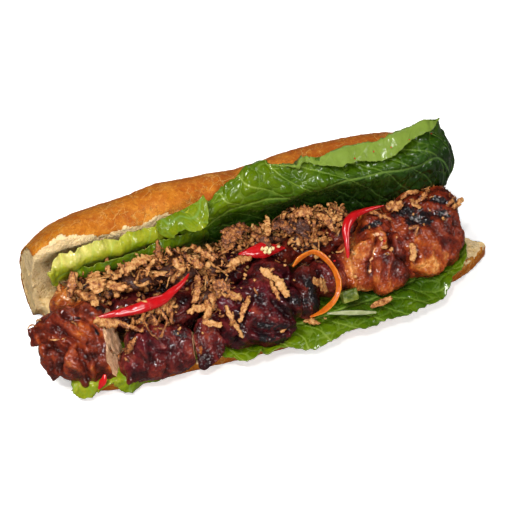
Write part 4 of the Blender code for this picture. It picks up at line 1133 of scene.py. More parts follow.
def make_leaf(name, tint, veins, material, turned=None):
    """A thin closed leaf with a torn, ruffled margin, ribs and blisters."""
    shape = LEAVES[name]
    face, lean, spacing, rib, mesh_size = veins
    grid, along, deep, share, from_edge, from_end = leaf_surface(shape)
    columns, across = grid.shape[:2]
    seed = shape["seed"]
    flat = np.stack([along.ravel(), deep.ravel(), np.full(along.size, seed * 9.0)], 1)
    line = flat * np.array([1.0, 0.25, 1.0])
    n = grid_normals(grid)
    edge = np.clip(1.0 - from_edge / (0.75 * deep.max()), 0, 1) ** 2
    broad = 2.0 * waves(line, shape["wave"], seed + 20).reshape(along.shape)
    frill = waves(line, shape["wave"] * 0.4, seed + 21).reshape(along.shape)
    margin = np.exp(-from_edge / 4.0)
    grid = grid + n * (shape["ruffle"] * (broad * edge + 0.9 * frill * margin))[..., None]
    bite = layered(flat * np.array([1, 0, 1]), 15, seed + 2, 4).reshape(along.shape)
    depth = mix(*shape["bite"], fade(25, 50, grid[..., 0]))
    tooth = np.abs(waves(flat * np.array([1, 0, 1]), 3.2, seed + 8)).reshape(along.shape)
    inward = grid[:, 2:3] - grid[:, 0:1]
    inward /= np.maximum(np.linalg.norm(inward, axis=2, keepdims=True), 1e-9)
    torn = depth * np.exp(-(deep - deep[:, :1]) / 5.0) * (0.2 + 2.2 * bite + 0.7 * tooth)
    grid = grid + inward * torn[..., None]
    sides = np.gradient(grid, axis=0)
    sides /= np.maximum(np.linalg.norm(sides, axis=2, keepdims=True), 1e-9)
    lobes = waves(flat * np.array([0, 1, 1]) + along.mean(), 7, seed + 30).reshape(along.shape)
    toward = np.where(along < along.max() / 2, 1.0, -1.0)
    grid = grid + sides * (toward * np.exp(-from_end / 6.0) * depth * (0.6 + 1.6 * lobes))[..., None]
    n = grid_normals(grid) * face
    vein, dome = vein_map(along, deep, seed, lean, spacing, rib, mesh_size)
    calm = fade(0.0, 5.0, from_edge) * (1.0 if turned is None else 1.0 - 0.85 * turned(grid[..., 0], share))
    swell = shape["blister"] * (dome - 0.45) * calm
    swell *= 0.6 + 0.4 * fade(10, 60, grid[..., 0])
    swell += 0.42 * layered(flat, 7, seed + 4).reshape(along.shape)
    grid = grid + n * swell[..., None]
    thick = mix(0.26, 0.36, vein)
    top = grid + n * thick[..., None]
    low = grid - n * (thick + 0.3 * vein)[..., None]
    points = np.concatenate([top.reshape(-1, 3), low.reshape(-1, 3)])
    points[:, 2] = np.maximum(points[:, 2], 0.6)
    mesh = mesh_from(name, points, sheet_faces(columns, across))
    outward(mesh)
    paint(mesh, "vein", np.tile(vein.ravel(), 2))
    # The tint is painted darker towards the buried edge, where the roll shades the leaf, and darker between
    # the blisters than on them: painted shade, with a painted highlight on the blisters.
    paint(mesh, "tint", np.tile(np.clip(tint(grid[..., 0], share) - 0.12 * (dome - 0.5), 0, 1).ravel(), 2))
    paint(mesh, "under", np.repeat((0.0, 1.0), columns * across))
    nodes = () if name in ONLY_IN_LOOK else (name,)
    return finished(name, mesh, material, "lettuce", *nodes)


# The chicken

def from_line(points, line):
    """Distance of each point from a smooth line through the given places."""
    path = [tuple(p) for p in spline(line, 4 * len(line))] if len(line) > 1 else line * 2
    path = np.array(path, float)
    best = np.full(len(points), 1e9)
    for a, b in zip(path, path[1:]):
        way = b - a
        t = np.clip((points - a) @ way / max(way @ way, 1e-9), 0, 1)
        best = np.minimum(best, np.linalg.norm(points - a - t[:, None] * way, axis=1))
    return best


def painted(points, table):
    """The strongest of a table's marks at each point."""
    total = np.zeros(len(points))
    for strength, reach, line in table:
        total = np.maximum(total, strength * np.exp(-(from_line(points, line) / reach) ** 2 * 1.1))
    return total


def make_chunk(name, lobes, seed, settings, material):
    """One folded piece of grilled thigh: creased, wrinkled, cut in places and glazed."""
    swells = list(lobes) + list(BODY.get(name, ()))
    for start, end, thick, thin in TORN.get(name, ()):
        for i in range(6):
            r = mix(thick, thin, i / 5)
            swells.append((mix(Vector(start), Vector(end), i / 5), (r, r, r)))
    soft = blended(name + "_soft", lobes_mesh(name, swells), SOFT_GRAIN, 5, material)
    for centre, way in FLATS.get(name, ()):
        pressed = points_of(soft.data)
        beyond = np.maximum((pressed - np.array(centre)) @ np.array(way), 0.0)
        move_points(soft.data, pressed - PRESSED * beyond[:, None] * np.array(way))
    chunk = blended(name, soft.data.copy(), settings.grain, 1, material)
    bpy.data.objects.remove(soft)
    mesh = chunk.data
    p, n = points_of(mesh), normals_of(mesh)
    warm_base, plum, grain = MEAT[name]
    grain = np.array(grain) / np.linalg.norm(grain)
    q = p + seed * 40.0
    s = q - 0.62 * (q @ grain)[:, None] * grain
    s = s + 1.5 * drift(q, 9, seed)
    broad = waves(q, 15, seed + 6)
    fold = 1.0 - 2.0 * np.abs(waves(s, 7.5, seed + 7))
    strand = 1.0 - 2.0 * np.abs(waves(s, 2.7, seed + 8))
    w = q + 0.7 * drift(q, 3, seed + 20)
    wrinkle = 1.0 - 2.0 * np.abs(waves(w, 2.1, seed + 9))
    fine = layered(q, 1.2, seed + 11, 2)
    cooked = fade(-0.25, 0.45, layered(q, 13, seed + 14, 2))
    height = (0.8 * broad + settings.fold * 0.55 * (fold - 0.35) + (0.10 + 0.22 * (1 - cooked)) * strand
              + (0.12 + 0.34 * cooked) * (wrinkle - 0.3) + 0.20 * fine
              + 0.40 * layered(q, 4.4, seed + 17, 2) - 0.1)
    crease_shade = np.zeros(len(p))
    for depth, half, line in CREASES:
        away = from_line(p, line)
        height += depth * (0.35 * np.exp(-((away - 2.2 * half) / (1.2 * half)) ** 2)
                           - 1.35 * np.exp(-away / (0.75 * half)))
        crease_shade = np.maximum(crease_shade, np.exp(-(away / (1.2 * half)) ** 2))
    p = p + n * height[:, None]
    cut = np.zeros(len(p))
    for centre, way in CUTS.get(name, ()):
        way = np.array(way) / np.linalg.norm(way)
        beyond = (p - np.array(centre)) @ way + 0.25 * waves(q, 4, seed + 40)
        cut = np.maximum(cut, fade(-0.1, 0.5, beyond))
        bulge = 0.5 * layered(s, 5, seed + 41, 2)
        p = p - (np.maximum(beyond, 0.0) - fade(0, 0.5, beyond) * bulge)[:, None] * way
    p[:, 2] = np.maximum(p[:, 2], 0.8)
    move_points(mesh, p)
    up = np.clip(n[:, 2], 0, 1)
    char = painted(p, CHAR) + 0.14 * up + 0.22 * layered(q, 8, seed + 12, 3)
    # Painted shade: darker in the creases and the valleys of the folds. Painted highlight: lighter on the
    # fold ridges. Both lie over the thin orange glaze.
    warm = warm_base + 0.20 * layered(q, 9, seed + 13, 3) + painted(p, WARM) - 0.22 * crease_shade
    warm += 0.20 * (fold - 0.40) + 0.07 * (wrinkle - 0.4) - 0.08 * cooked
    paint(mesh, "char", np.clip(char * (1 - cut), 0, 1))
    paint(mesh, "warm", np.clip(warm, 0, 1))
    paint(mesh, "plum", np.clip(plum + 0.35 * layered(q, 16, seed + 15, 2), 0, 1))
    paint(mesh, "pale", np.clip(np.maximum(painted(p, PALE), cut), 0, 1))
    return belongs(chunk, "glazed_chicken", name)


# Fried onions

def flake(line, width, thick, side_way, draw, rows, across, ragged, cup, twist):
    """A thin crisp ribbon along a line: places, faces and which places are on its rim."""
    middle = spline(line, rows)
    top, low, rim = [], [], []
    left = right = 0.8
    for i, at in enumerate(middle):
        ahead = ahead_at(middle, i)
        side = Vector(side_way)
        side = (side - ahead * side.dot(ahead)).normalized()
        normal = ahead.cross(side)
        turn = Matrix.Rotation(twist * (i / (rows - 1) - 0.5), 3, ahead)
        side, normal = turn @ side, turn @ normal
        end = i in (0, rows - 1)
        wide = width * (0.30 + 0.70 * math.sin(math.pi * (i + 0.4) / (rows - 0.2)) ** 0.5)
        left, right = (mix(old, draw.uniform(1 - 2 * ragged, 1 + ragged), 0.7) for old in (left, right))
        for j in range(across):
            t = 2 * j / (across - 1) - 1
            p = at + side * (t * wide / 2 * (left if t < 0 else right))
            p += normal * (cup * t * t * width / 2 + draw.uniform(-1, 1) * 0.09 * width ** 0.5)
            p += ahead * draw.uniform(-0.2, 0.2)
            half = thick / 2 * (0.5 if end or j in (0, across - 1) else 1.0)
            top.append(p + normal * half)
            low.append(p - normal * half)
            rim.append(1.0 if end or j in (0, across - 1) else 0.0)
    return top + low, sheet_faces(rows, across), rim * 2


def shred_sample(name, draw, kind):
    """One sample shred of fried onion, with a few dozen faces: a curl, a chip, a thread or a crumb."""
    if kind == "crumb":
        bm = bmesh.new()
        bmesh.ops.create_cube(bm, size=1.0)
        bmesh.ops.subdivide_edges(bm, edges=bm.edges, cuts=1, use_grid_fill=True)
        size = Vector([draw.uniform(0.9, 1.9) for _ in range(3)])
        for v in bm.verts:
            v.co = v.co.normalized() * size * draw.uniform(0.72, 1.25) * MM
        mesh = bpy.data.meshes.new(name)
        bm.to_mesh(mesh)
        bm.free()
        mesh.shade_smooth()
        paint(mesh, "rim", [0.0] * len(mesh.vertices))
        return mesh
    length, width, bend, twist = {
        label: [draw.uniform(*span) for span in spans] for label, *spans in (
            ("curl", (9, 14), (2.4, 3.8), (1.2, 3.6), (-1.0, 1.0)),
            ("chip", (7, 11), (3.8, 6.2), (0.1, 0.9), (-0.5, 0.5)),
            ("thread", (10, 16), (1.1, 1.7), (0.8, 3.4), (-2, 2)))
    }[kind]
    bend *= draw.choice((-1, 1))
    line, at, heading = [], Vector((0, 0, 0)), -bend / 2
    for i in range(6):
        line.append(tuple(at))
        at = at + Vector((math.cos(heading), 0.12 * draw.uniform(-1, 1), math.sin(heading))) * length / 5
        heading += bend / 5
    points, faces, rim = flake(line, width, draw.uniform(0.7, 1.1), (0, 1, 0), draw, 8, 3, 0.3,
                               draw.uniform(-0.15, 0.5), twist)
    middle = sum(points, Vector()) / len(points)
    mesh = bpy.data.meshes.new(name)
    mesh.from_pydata([(p - middle) * MM for p in points], [], faces)
    outward(mesh)
    mesh.shade_smooth()
    paint(mesh, "rim", rim)
    return mesh


def hero_flakes():
    """The flakes that stand out, each laid along its own line, as one mesh."""
    draw = random.Random(41)
    points, faces, rims, toasts = [], [], [], []
    for width, toast, line in FLAKES:
        reach = sum((Vector(b) - Vector(a)).length for a, b in zip(line, line[1:]))
        ahead = Vector(line[-1]) - Vector(line[0])
        view = Vector((-0.15, -0.55, 0.82)) if width > 1.7 else Vector((0.6, -0.6, 0.5))
        side = ahead.cross(view) if width > 1.7 else view
        rows = max(11, int(reach / 0.5))
        across = 9 if width > 3 else 6
        wavy = [p + Vector((0, 0, draw.uniform(-0.8, 0.8))) for p in spline(line, max(4, len(line) + 2))]
        more, shapes, rim = flake(wavy, width * 1.15, 0.6, side, draw, rows, across, 0.24,
                                  draw.uniform(-0.25, 0.5), draw.uniform(-0.9, 0.9))
        faces += [tuple(i + len(points) for i in f) for f in shapes]
        points += more
        rims += rim
        toasts += [toast - 0.12 + 0.35 * draw.uniform(0, 1) ** 2] * len(more)
    points = np.array([tuple(p) for p in points])
    points += 0.85 * drift(points, 3.6, 90, 2) + 0.3 * drift(points, 1.3, 95)
    toasts = np.array(toasts) + 0.34 * layered(points, 4, 98, 3)
    mesh = mesh_from("onion_flakes", points, faces)
    outward(mesh)
    paint(mesh, "rim", rims)
    paint(mesh, "toast", toasts)
    return mesh


def crumbs_mesh(name, table, seed):
    """Small rough crumbs, each at its own place."""
    draw = random.Random(seed)
    bm = bmesh.new()
    for size, place in table:
        angle, axle = draw.uniform(0, 6), Vector([draw.uniform(-1, 1) for _ in range(3)])
        turn = Matrix.Rotation(angle, 4, axle.normalized())
        half = size / 2
        scale = Matrix.Diagonal((half * draw.uniform(0.8, 1.3), half, half * draw.uniform(0.6, 0.9), 1))
        made = bmesh.ops.create_icosphere(bm, subdivisions=3, radius=1.0,
                                          matrix=Matrix.Translation(place) @ turn @ scale)
        for v in made["verts"]:
            out = (v.co - Vector(place)).normalized()
            v.co += out * 0.22 * size * float(waves(np.array([tuple(v.co)]), size * 0.45, seed)[0])
    points = np.array([tuple(v.co) for v in bm.verts])
    bm.verts.index_update()
    faces = [tuple(v.index for v in f.verts) for f in bm.faces]
    bm.free()
    return mesh_from(name, points, faces)


def sample_box(name, makers):
    """A collection of sample shapes, kept out of the picture."""
    box = bpy.data.collections.new(name)
    bpy.context.scene.collection.children.link(box)
    for i, mesh in enumerate(makers):
        box.objects.link(bpy.data.objects.new(f"{name}_{i}", mesh))
    return box


def empty_box(box):
    for obj in list(box.objects):
        bpy.data.objects.remove(obj)
    bpy.data.collections.remove(box)


def scatter_tree(name):
    """Strews samples over a surface by its cover attribute, nearly flat and toasted at random."""
    tree = bpy.data.node_groups.new(name, "GeometryNodeTree")
    face = tree.interface
    face.new_socket("Surface", in_out="INPUT", socket_type="NodeSocketGeometry")
    for label, kind in (("Samples", "NodeSocketCollection"), ("Per Square Metre", "NodeSocketFloat"),
                        ("Smallest", "NodeSocketFloat"), ("Largest", "NodeSocketFloat"),
                        ("Tilt", "NodeSocketFloat"), ("Lowest", "NodeSocketFloat"),
                        ("Highest", "NodeSocketFloat"), ("Seed", "NodeSocketInt"),
                        ("Finish", "NodeSocketMaterial")):
        face.new_socket(label, in_out="INPUT", socket_type=kind)
    face.new_socket("Shreds", in_out="OUTPUT", socket_type="NodeSocketGeometry")
    node = partial(new_node, tree)
    given = node("NodeGroupInput").outputs

    def chance(kind, low, high, step):
        first, result = {"FLOAT": (2, 1), "FLOAT_VECTOR": (0, 0), "INT": (4, 2)}[kind]
        seed = node("FunctionNodeIntegerMath", (0, given["Seed"]), (1, step), operation="ADD")
        return node("FunctionNodeRandomValue", (first, low), (first + 1, high), ("Seed", seed.outputs[0]),
                    data_type=kind).outputs[result]

    cover = node("GeometryNodeInputNamedAttribute", ("Name", "cover"), data_type="FLOAT")
    dense = node("ShaderNodeMath", (0, cover.outputs["Attribute"]), (1, given["Per Square Metre"]),
                 operation="MULTIPLY")
    strew = node("GeometryNodeDistributePointsOnFaces", ("Mesh", given["Surface"]),
                 ("Density", dense.outputs[0]), ("Seed", given["Seed"]))
    lift = node("ShaderNodeVectorMath", (0, strew.outputs["Normal"]),
                ("Scale", chance("FLOAT", given["Lowest"], given["Highest"], 1)), operation="SCALE")
    lifted = node("GeometryNodeSetPosition", ("Geometry", strew.outputs["Points"]),
                  ("Offset", lift.outputs[0]))
    tilt = node("ShaderNodeVectorMath", (0, chance("FLOAT_VECTOR", (-1, -1, -4), (1, 1, 4), 2)),
                ("Scale", given["Tilt"]), operation="SCALE")
    turn = node("FunctionNodeEulerToRotation", (0, tilt.outputs[0]))
    lay = node("FunctionNodeRotateRotation", (0, strew.outputs["Rotation"]), (1, turn.outputs[0]),
               rotation_space="LOCAL")
    samples = node("GeometryNodeCollectionInfo", ("Separate Children", True), ("Reset Children", True),
                   ("Collection", given["Samples"]))
    placed = node("GeometryNodeInstanceOnPoints", ("Pick Instance", True),
                  ("Points", lifted.outputs["Geometry"]), ("Instance", samples.outputs[0]),
                  ("Instance Index", chance("INT", 0, 999, 3)), ("Rotation", lay.outputs[0]),
                  ("Scale", chance("FLOAT", given["Smallest"], given["Largest"], 4)))
    toast = node("GeometryNodeStoreNamedAttribute", ("Name", "toast"),
                 ("Geometry", placed.outputs["Instances"]), ("Value", chance("FLOAT", -0.05, 0.72, 5)),
                 data_type="FLOAT", domain="INSTANCE")
    real = node("GeometryNodeRealizeInstances", ("Geometry", toast.outputs["Geometry"]))
    coat = node("GeometryNodeSetMaterial", ("Geometry", real.outputs["Geometry"]),
                ("Material", given["Finish"]))
    node("NodeGroupOutput", (0, coat.outputs["Geometry"]))
    return tree


def strewn(name, surface, tree, samples, material, per_cm2, sizes, tilt, lift, seed):
    """Runs the scatter tree over a surface mesh and keeps the result as a plain mesh."""
    obj = bpy.data.objects.new(name, surface)
    bpy.context.scene.collection.objects.link(obj)
    made = obj.modifiers.new("shreds", "NODES")
    made.node_group = tree
    sockets = {item.name: item.identifier for item in tree.interface.items_tree}
    for label, value in (("Samples", samples), ("Per Square Metre", per_cm2 * 10000.0),
                         ("Smallest", sizes[0]), ("Largest", sizes[1]), ("Tilt", tilt),
                         ("Lowest", lift[0] * MM), ("Highest", lift[1] * MM), ("Seed", seed),
                         ("Finish", material)):
        made[sockets[label]] = value
    plain(obj)
    obj.data.materials.clear()
    obj.data.materials.append(material)
    return obj


def copies_joined(name, objects):
    """One mesh holding a copy of each object's mesh."""
    bm = bmesh.new()
    for obj in objects:
        bm.from_mesh(obj.data)
    mesh = bpy.data.meshes.new(name)
    bm.to_mesh(mesh)
    bm.free()
    return mesh


# Settings

class RollSettings(bpy.types.PropertyGroup):
    grain: FloatProperty(name="Grain", description="Size of the finest form on the roll, in millimetres",
                         default=1.12, min=0.6)
    pore_depth: FloatProperty(name="Pore depth", description="Depth of the crumb's pores, in millimetres",
                              default=1.5, min=0.0)
    crust_light: FloatVectorProperty(name="Light crust", description="Crust where it is least baked",
                                     default=(0.48, 0.155, 0.011), subtype="COLOR")
    crust_mid: FloatVectorProperty(name="Crust", description="Crust over most of the roll",
                                   default=(0.36, 0.083, 0.005), subtype="COLOR")
    crust_dark: FloatVectorProperty(name="Dark crust", description="Crust where it is most baked",
                                    default=(0.37, 0.076, 0.004), subtype="COLOR")
    crumb_colour: FloatVectorProperty(name="Crumb", description="Soft white bread inside the crust",
                                      default=(0.84, 0.63, 0.345), subtype="COLOR")


class ChickenSettings(bpy.types.PropertyGroup):
    grain: FloatProperty(name="Grain", description="Size of the finest form on the meat, in millimetres",
                         default=0.55, min=0.4)
    fold: FloatProperty(name="Folds", description="Depth of the folds in the meat, in millimetres",
                        default=0.85, min=0.0)
    glaze_dark: FloatVectorProperty(name="Dark glaze", description="Glaze where it has caramelised",
                                    default=(0.062, 0.008, 0.004), subtype="COLOR")
    glaze_mid: FloatVectorProperty(name="Glaze", description="Glaze over most of the meat",
                                   default=(0.170, 0.020, 0.006), subtype="COLOR")
    glaze_light: FloatVectorProperty(name="Light glaze", description="Glaze where it is thin",
                                     default=(0.50, 0.155, 0.028), subtype="COLOR")
    flesh: FloatVectorProperty(name="Flesh", description="Cooked meat where a cut shows it",
                               default=(0.95, 0.60, 0.36), subtype="COLOR")


class OnionSettings(bpy.types.PropertyGroup):
    samples: IntProperty(name="Shapes", description="Number of different shreds", default=16, min=1)
    cover: FloatProperty(name="Cover", description="Shreds on each square centimetre of a heap",
                         default=12.0, min=0.0)
    pale_shred: FloatVectorProperty(name="Pale shred", description="Least fried onion",
                                    default=(0.60, 0.32, 0.115), subtype="COLOR")
    brown_shred: FloatVectorProperty(name="Brown shred", description="Well fried onion",
                                     default=(0.21, 0.062, 0.018), subtype="COLOR")


class StudioSettings(bpy.types.PropertyGroup):
    turn: FloatProperty(name="Turn", description="Camera's turn to the left of the roll's front",
                        default=math.radians(20.0), subtype="ANGLE", unit="ROTATION")
    height: FloatProperty(name="Height", description="Camera's angle above the table",
                          default=math.radians(40.0), subtype="ANGLE", unit="ROTATION")
    distance: FloatProperty(name="Distance", description="Camera's distance from the roll",
                            default=1.1, subtype="DISTANCE", unit="LENGTH")
    width: FloatProperty(name="Width", description="Width of the picture where the roll stands",
                         default=0.28416, subtype="DISTANCE", unit="LENGTH")
    light: FloatProperty(name="Light", description="Strength of the main light", default=12.0, min=0.0,
                         subtype="POWER", unit="POWER")


# Operators

class SANDWICH_OT_roll(bpy.types.Operator):
    """Make the split roll with its crust and crumb"""
    bl_idname = "sandwich.roll"
    bl_label = "Roll"

    def execute(self, context):
        make_roll(context.scene.sandwich_roll)
        return {"FINISHED"}


class SANDWICH_OT_leaves(bpy.types.Operator):
    """Make the salad leaves above and below the chicken"""
    bl_idname = "sandwich.leaves"
    bl_label = "Leaves"

    def execute(self, context):
        # The near-black end of each green ramp is painted shade. Most leaves' tints rise towards the buried
        # edge: painted shade under the roll.
        cos = leaf_finish("cos_leaf", (
            (0.0, (0.18, 0.235, 0.002)), (0.25, (0.095, 0.160, 0.001)), (0.5, (0.045, 0.098, 0.001)),
            (0.75, (0.018, 0.052, 0.003)), (1.0, (0.006, 0.020, 0.002))), (0.175, 0.26, 0.035))
        heart = leaf_finish("heart_leaf", (
            (0.0, (0.66, 0.58, 0.17)), (0.30, (0.36, 0.37, 0.020)), (0.62, (0.15, 0.21, 0.002)),
            (1.0, (0.045, 0.095, 0.001))), (0.30, 0.33, 0.05))
        make_leaf("lettuce_upper_leaf",
                  lambda x, deep: (0.28 + 0.24 * fade(-20, 60, x) + 0.44 * fade(0.22, 0.75, deep)
                                   + 0.2 * fade(80, 120, x)),
                  (-1.0, -1.0, 17.0, lambda a: 20 + 0.10 * a, 8.0), cos,
                  lambda x, deep: fade(34, 50, x) * (1 - fade(0.14, 0.24, deep)))
        make_leaf("lettuce_upper_frill",
                  lambda x, deep: 0.03 + 0.36 * fade(-100, -60, x) + 0.42 * fade(0.08, 0.5, deep),
                  (-1.0, 0.5, 10.0, lambda a: 13 + 0 * a, 7.0), heart)
        # The inner frill sits at the dark end of the ramp: partly its own deeper green, partly painted shade
        # behind the frill.
        make_leaf("lettuce_frill_inner", lambda x, deep: 0.84 + 0.2 * deep,
                  (-1.0, 0.5, 10.0, lambda a: 11 + 0 * a, 6.0), heart)
        make_leaf("lettuce_frill_lobe", lambda x, deep: 0.58 + 0.1 * deep,
                  (1.0, 0.5, 9.0, lambda a: 9 + 0 * a, 6.0), heart)
        make_leaf("lettuce_lower_right",
                  lambda x, deep: 0.22 + 0.24 * fade(0, 60, x) - 0.16 * fade(90, 118, x) + 0.30 * deep,
                  (1.0, 0.8, 13.0, lambda a: 20 + 0 * a, 7.0), cos)
        make_leaf("lettuce_lower_left",
                  lambda x, deep: 0.48 + 0.35 * fade(-110, -60, x) + 0 * deep,
                  (1.0, 0.6, 12.0, lambda a: 22 + 0 * a, 7.0), heart)
        return {"FINISHED"}


class SANDWICH_OT_chicken(bpy.types.Operator):
    """Make the folded pieces of glazed grilled chicken"""
    bl_idname = "sandwich.chicken"
    bl_label = "Chicken"

    def execute(self, context):
        settings = context.scene.sandwich_chicken
        meat = glazed_meat(settings)
        for seed, (name, lobes) in enumerate(CHICKEN.items()):
            make_chunk(name, lobes, 100 + 17 * seed, settings, meat)
        return {"FINISHED"}


class SANDWICH_OT_onions(bpy.types.Operator):
    """Strew crisp fried onion over the chicken in two heaps, with loose shreds, large flakes and crumbs"""
    bl_idname = "sandwich.onions"
    bl_label = "Fried onions"

    def execute(self, context):
        settings = context.scene.sandwich_onions
        finish = fried_shreds(settings)
        draw = random.Random(7)
        boxes = []
        for label, kinds in (("shred", ("curl", "chip", "thread", "curl", "chip", "crumb", "curl", "chip")),
                             ("crumble", ("crumb", "curl", "crumb", "chip", "crumb", "thread"))):
            boxes.append(sample_box(label, [shred_sample(f"{label}_{i}", draw, kinds[i % len(kinds)])
                                            for i in range(settings.samples)]))
        tree = scatter_tree("strewn_onion")
        cores = []
        for name, samples, cover, sizes, lift, seed in (
                ("crispy_onions_left", boxes[0], 1.0, (0.50, 1.0), (-0.5, 4.2), 5),
                ("crispy_onions_back", boxes[1], 1.9, (0.50, 1.0), (-0.5, 3.0), 8)):
            lobes = HEAPS[name]
            core = blended(name, lobes_mesh(name, lobes, 3, 3.2), 1.2, 2, finish)
            p, n = points_of(core.data), normals_of(core.data)
            move_points(core.data, p + n * (1.3 * layered(p, 5, 70 + seed, 3))[:, None])
            # The core is painted past the darkest end of the ramp: painted shade in the gaps between the
            # shreds.
            paint(core.data, "toast", 1.2 + 0.1 * layered(p, 4, 80, 2))
            paint(core.data, "rim", np.zeros(len(p)))
            surface = core.data.copy()
            paint(surface, "cover", cover * fade(-0.35, 0.1, n[:, 2]))
            shreds = strewn(name + "_shreds", surface, tree, samples, finish, settings.cover,
                            sizes, 0.6, lift, seed)
            belongs(core, "fried_onion", name)
            belongs(shreds, "fried_onion")
            cores.append(core)
        chunks = [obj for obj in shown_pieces() if obj.name.startswith("chicken_")]
        surface = copies_joined("meat_top", chunks)
        p, n = points_of(surface), normals_of(surface)
        heap = tree_of(np.concatenate([points_of(core.data) for core in cores]))
        away = nearest(heap, p)
        loose = 0.35 * np.exp(-away / 6.0) + 0.10 * fade(74, 84, p[:, 0]) * fade(40, 48, p[:, 2])
        paint(surface, "cover", (loose + 0.008) * fade(0.1, 0.5, n[:, 2]))
        belongs(strewn("loose_onion_shreds", surface, tree, boxes[0], finish, settings.cover,
                       (0.30, 0.75), 0.3, (0.1, 1.2), 31), "fried_onion")
        for box in boxes:
            empty_box(box)
        finished("onion_flakes", hero_flakes(), finish, "fried_onion")
        mesh = crumbs_mesh("onion_crumbs", CRUMBS, 3)
        paint(mesh, "toast", np.full(len(mesh.vertices), 0.12))
        paint(mesh, "rim", np.zeros(len(mesh.vertices)))
        finished("onion_crumbs", mesh, finish, "fried_onion")
        points, faces, rim = flake(SHRED_FRONT, 4.0, 1.0, (0.1, 1.0, 0.5), random.Random(12), 24, 7,
                                   0.12, 0.2, 0.3)
        points = np.array([tuple(p) for p in points])
        mesh = mesh_from("onion_shred_front", points + 0.3 * drift(points, 3, 0, 2), faces)
        outward(mesh)
        paint(mesh, "rim", rim)
        paint(mesh, "toast", np.full(len(points), 0.34))
        finished("onion_shred_front", mesh, finish, "fried_onion", "onion_shred_front")
        return {"FINISHED"}


class SANDWICH_OT_chillies(bpy.types.Operator):
    """Make the long chilli sliver, the opened slice with its seeds and the forked curl"""
    bl_idname = "sandwich.chillies"
    bl_label = "Chillies"

    def execute(self, context):
        red = chilli_skin()
        for name, path, radii, squash, seed, (groove, depth), (pale_turn, pale_reach, paleness) in (
                ("chilli_long", CHILLI_LONG, (0.5, 1.6, 2.3, 2.8, 3.3, 3.2, 2.5, 1.6, 0.3), 0.8, 1,
                 (1.0, 0.2), (1.0, 0.5, 0.20)),
                ("chilli_slice", CHILLI_SLICE, (0.7, 3.2, 4.6, 3.6, 0.6), 0.62, 2,
                 (1.7, 1.5), (1.7, 0.34, 0.65)),
                ("chilli_curl", CHILLI_CURL, (0.5, 2.0, 2.7, 1.9, 1.1, 0.4), 0.75, 3,
                 (2.2, 0.4), (2.75, 0.22, 0.55))):
            p, faces, along, turn = tube(path, radii, 120, 32, squash)
            if name == "chilli_curl":
                q, more, a2, t2 = tube(CHILLI_FORK, (1.7, 1.6, 0.4), 40, 16, 0.7)
                faces += [tuple(i + len(p) for i in f) for f in more]
                p, along, turn = (np.concatenate(pair) for pair in ((p, q), (along, a2), (turn, t2)))
            mesh = mesh_from(name, p, faces)
            outward(mesh)
            n = normals_of(mesh)
            dent = 0.22 * waves(p, 8, seed) + 0.08 * waves(p, 2.6, seed + 5)
            dent -= depth * np.exp(-((turn - groove) / 0.42) ** 2) * np.sin(np.pi * along)
            move_points(mesh, p + n * dent[:, None])
            pale = paleness * np.exp(-((turn - pale_turn) / pale_reach) ** 2)
            if name == "chilli_slice":
                pale *= np.sin(np.pi * along)
            paint(mesh, "pale", 0.15 + pale)
            finished(name, mesh, red, "red_chilli", name)
        seed_finish = moist_strip("chilli_seed", (0.0, (0.62, 0.40, 0.16)), (1.0, (0.90, 0.74, 0.42)))
        mesh = crumbs_mesh("chilli_seeds", SEEDS, 6)
        paint(mesh, "pale", np.full(len(mesh.vertices), 0.6))
        finished("chilli_seeds", mesh, seed_finish, "red_chilli")
        p, faces, along, turn = tube(CHILLI_BIT, (0.5, 1.7, 1.9, 0.6), 40, 16, 0.4)
        mesh = mesh_from("chilli_bit", p + 0.3 * waves(p, 4, 9)[:, None], faces)
        outward(mesh)
        paint(mesh, "pale", 0.15 + 0.2 * along)
        finished("chilli_bit", mesh, red, "red_chilli")
        mesh = crumbs_mesh("chilli_flecks", FLECKS, 8)
        paint(mesh, "pale", np.full(len(mesh.vertices), 0.2))
        finished("chilli_flecks", mesh, red, "red_chilli")
        return {"FINISHED"}


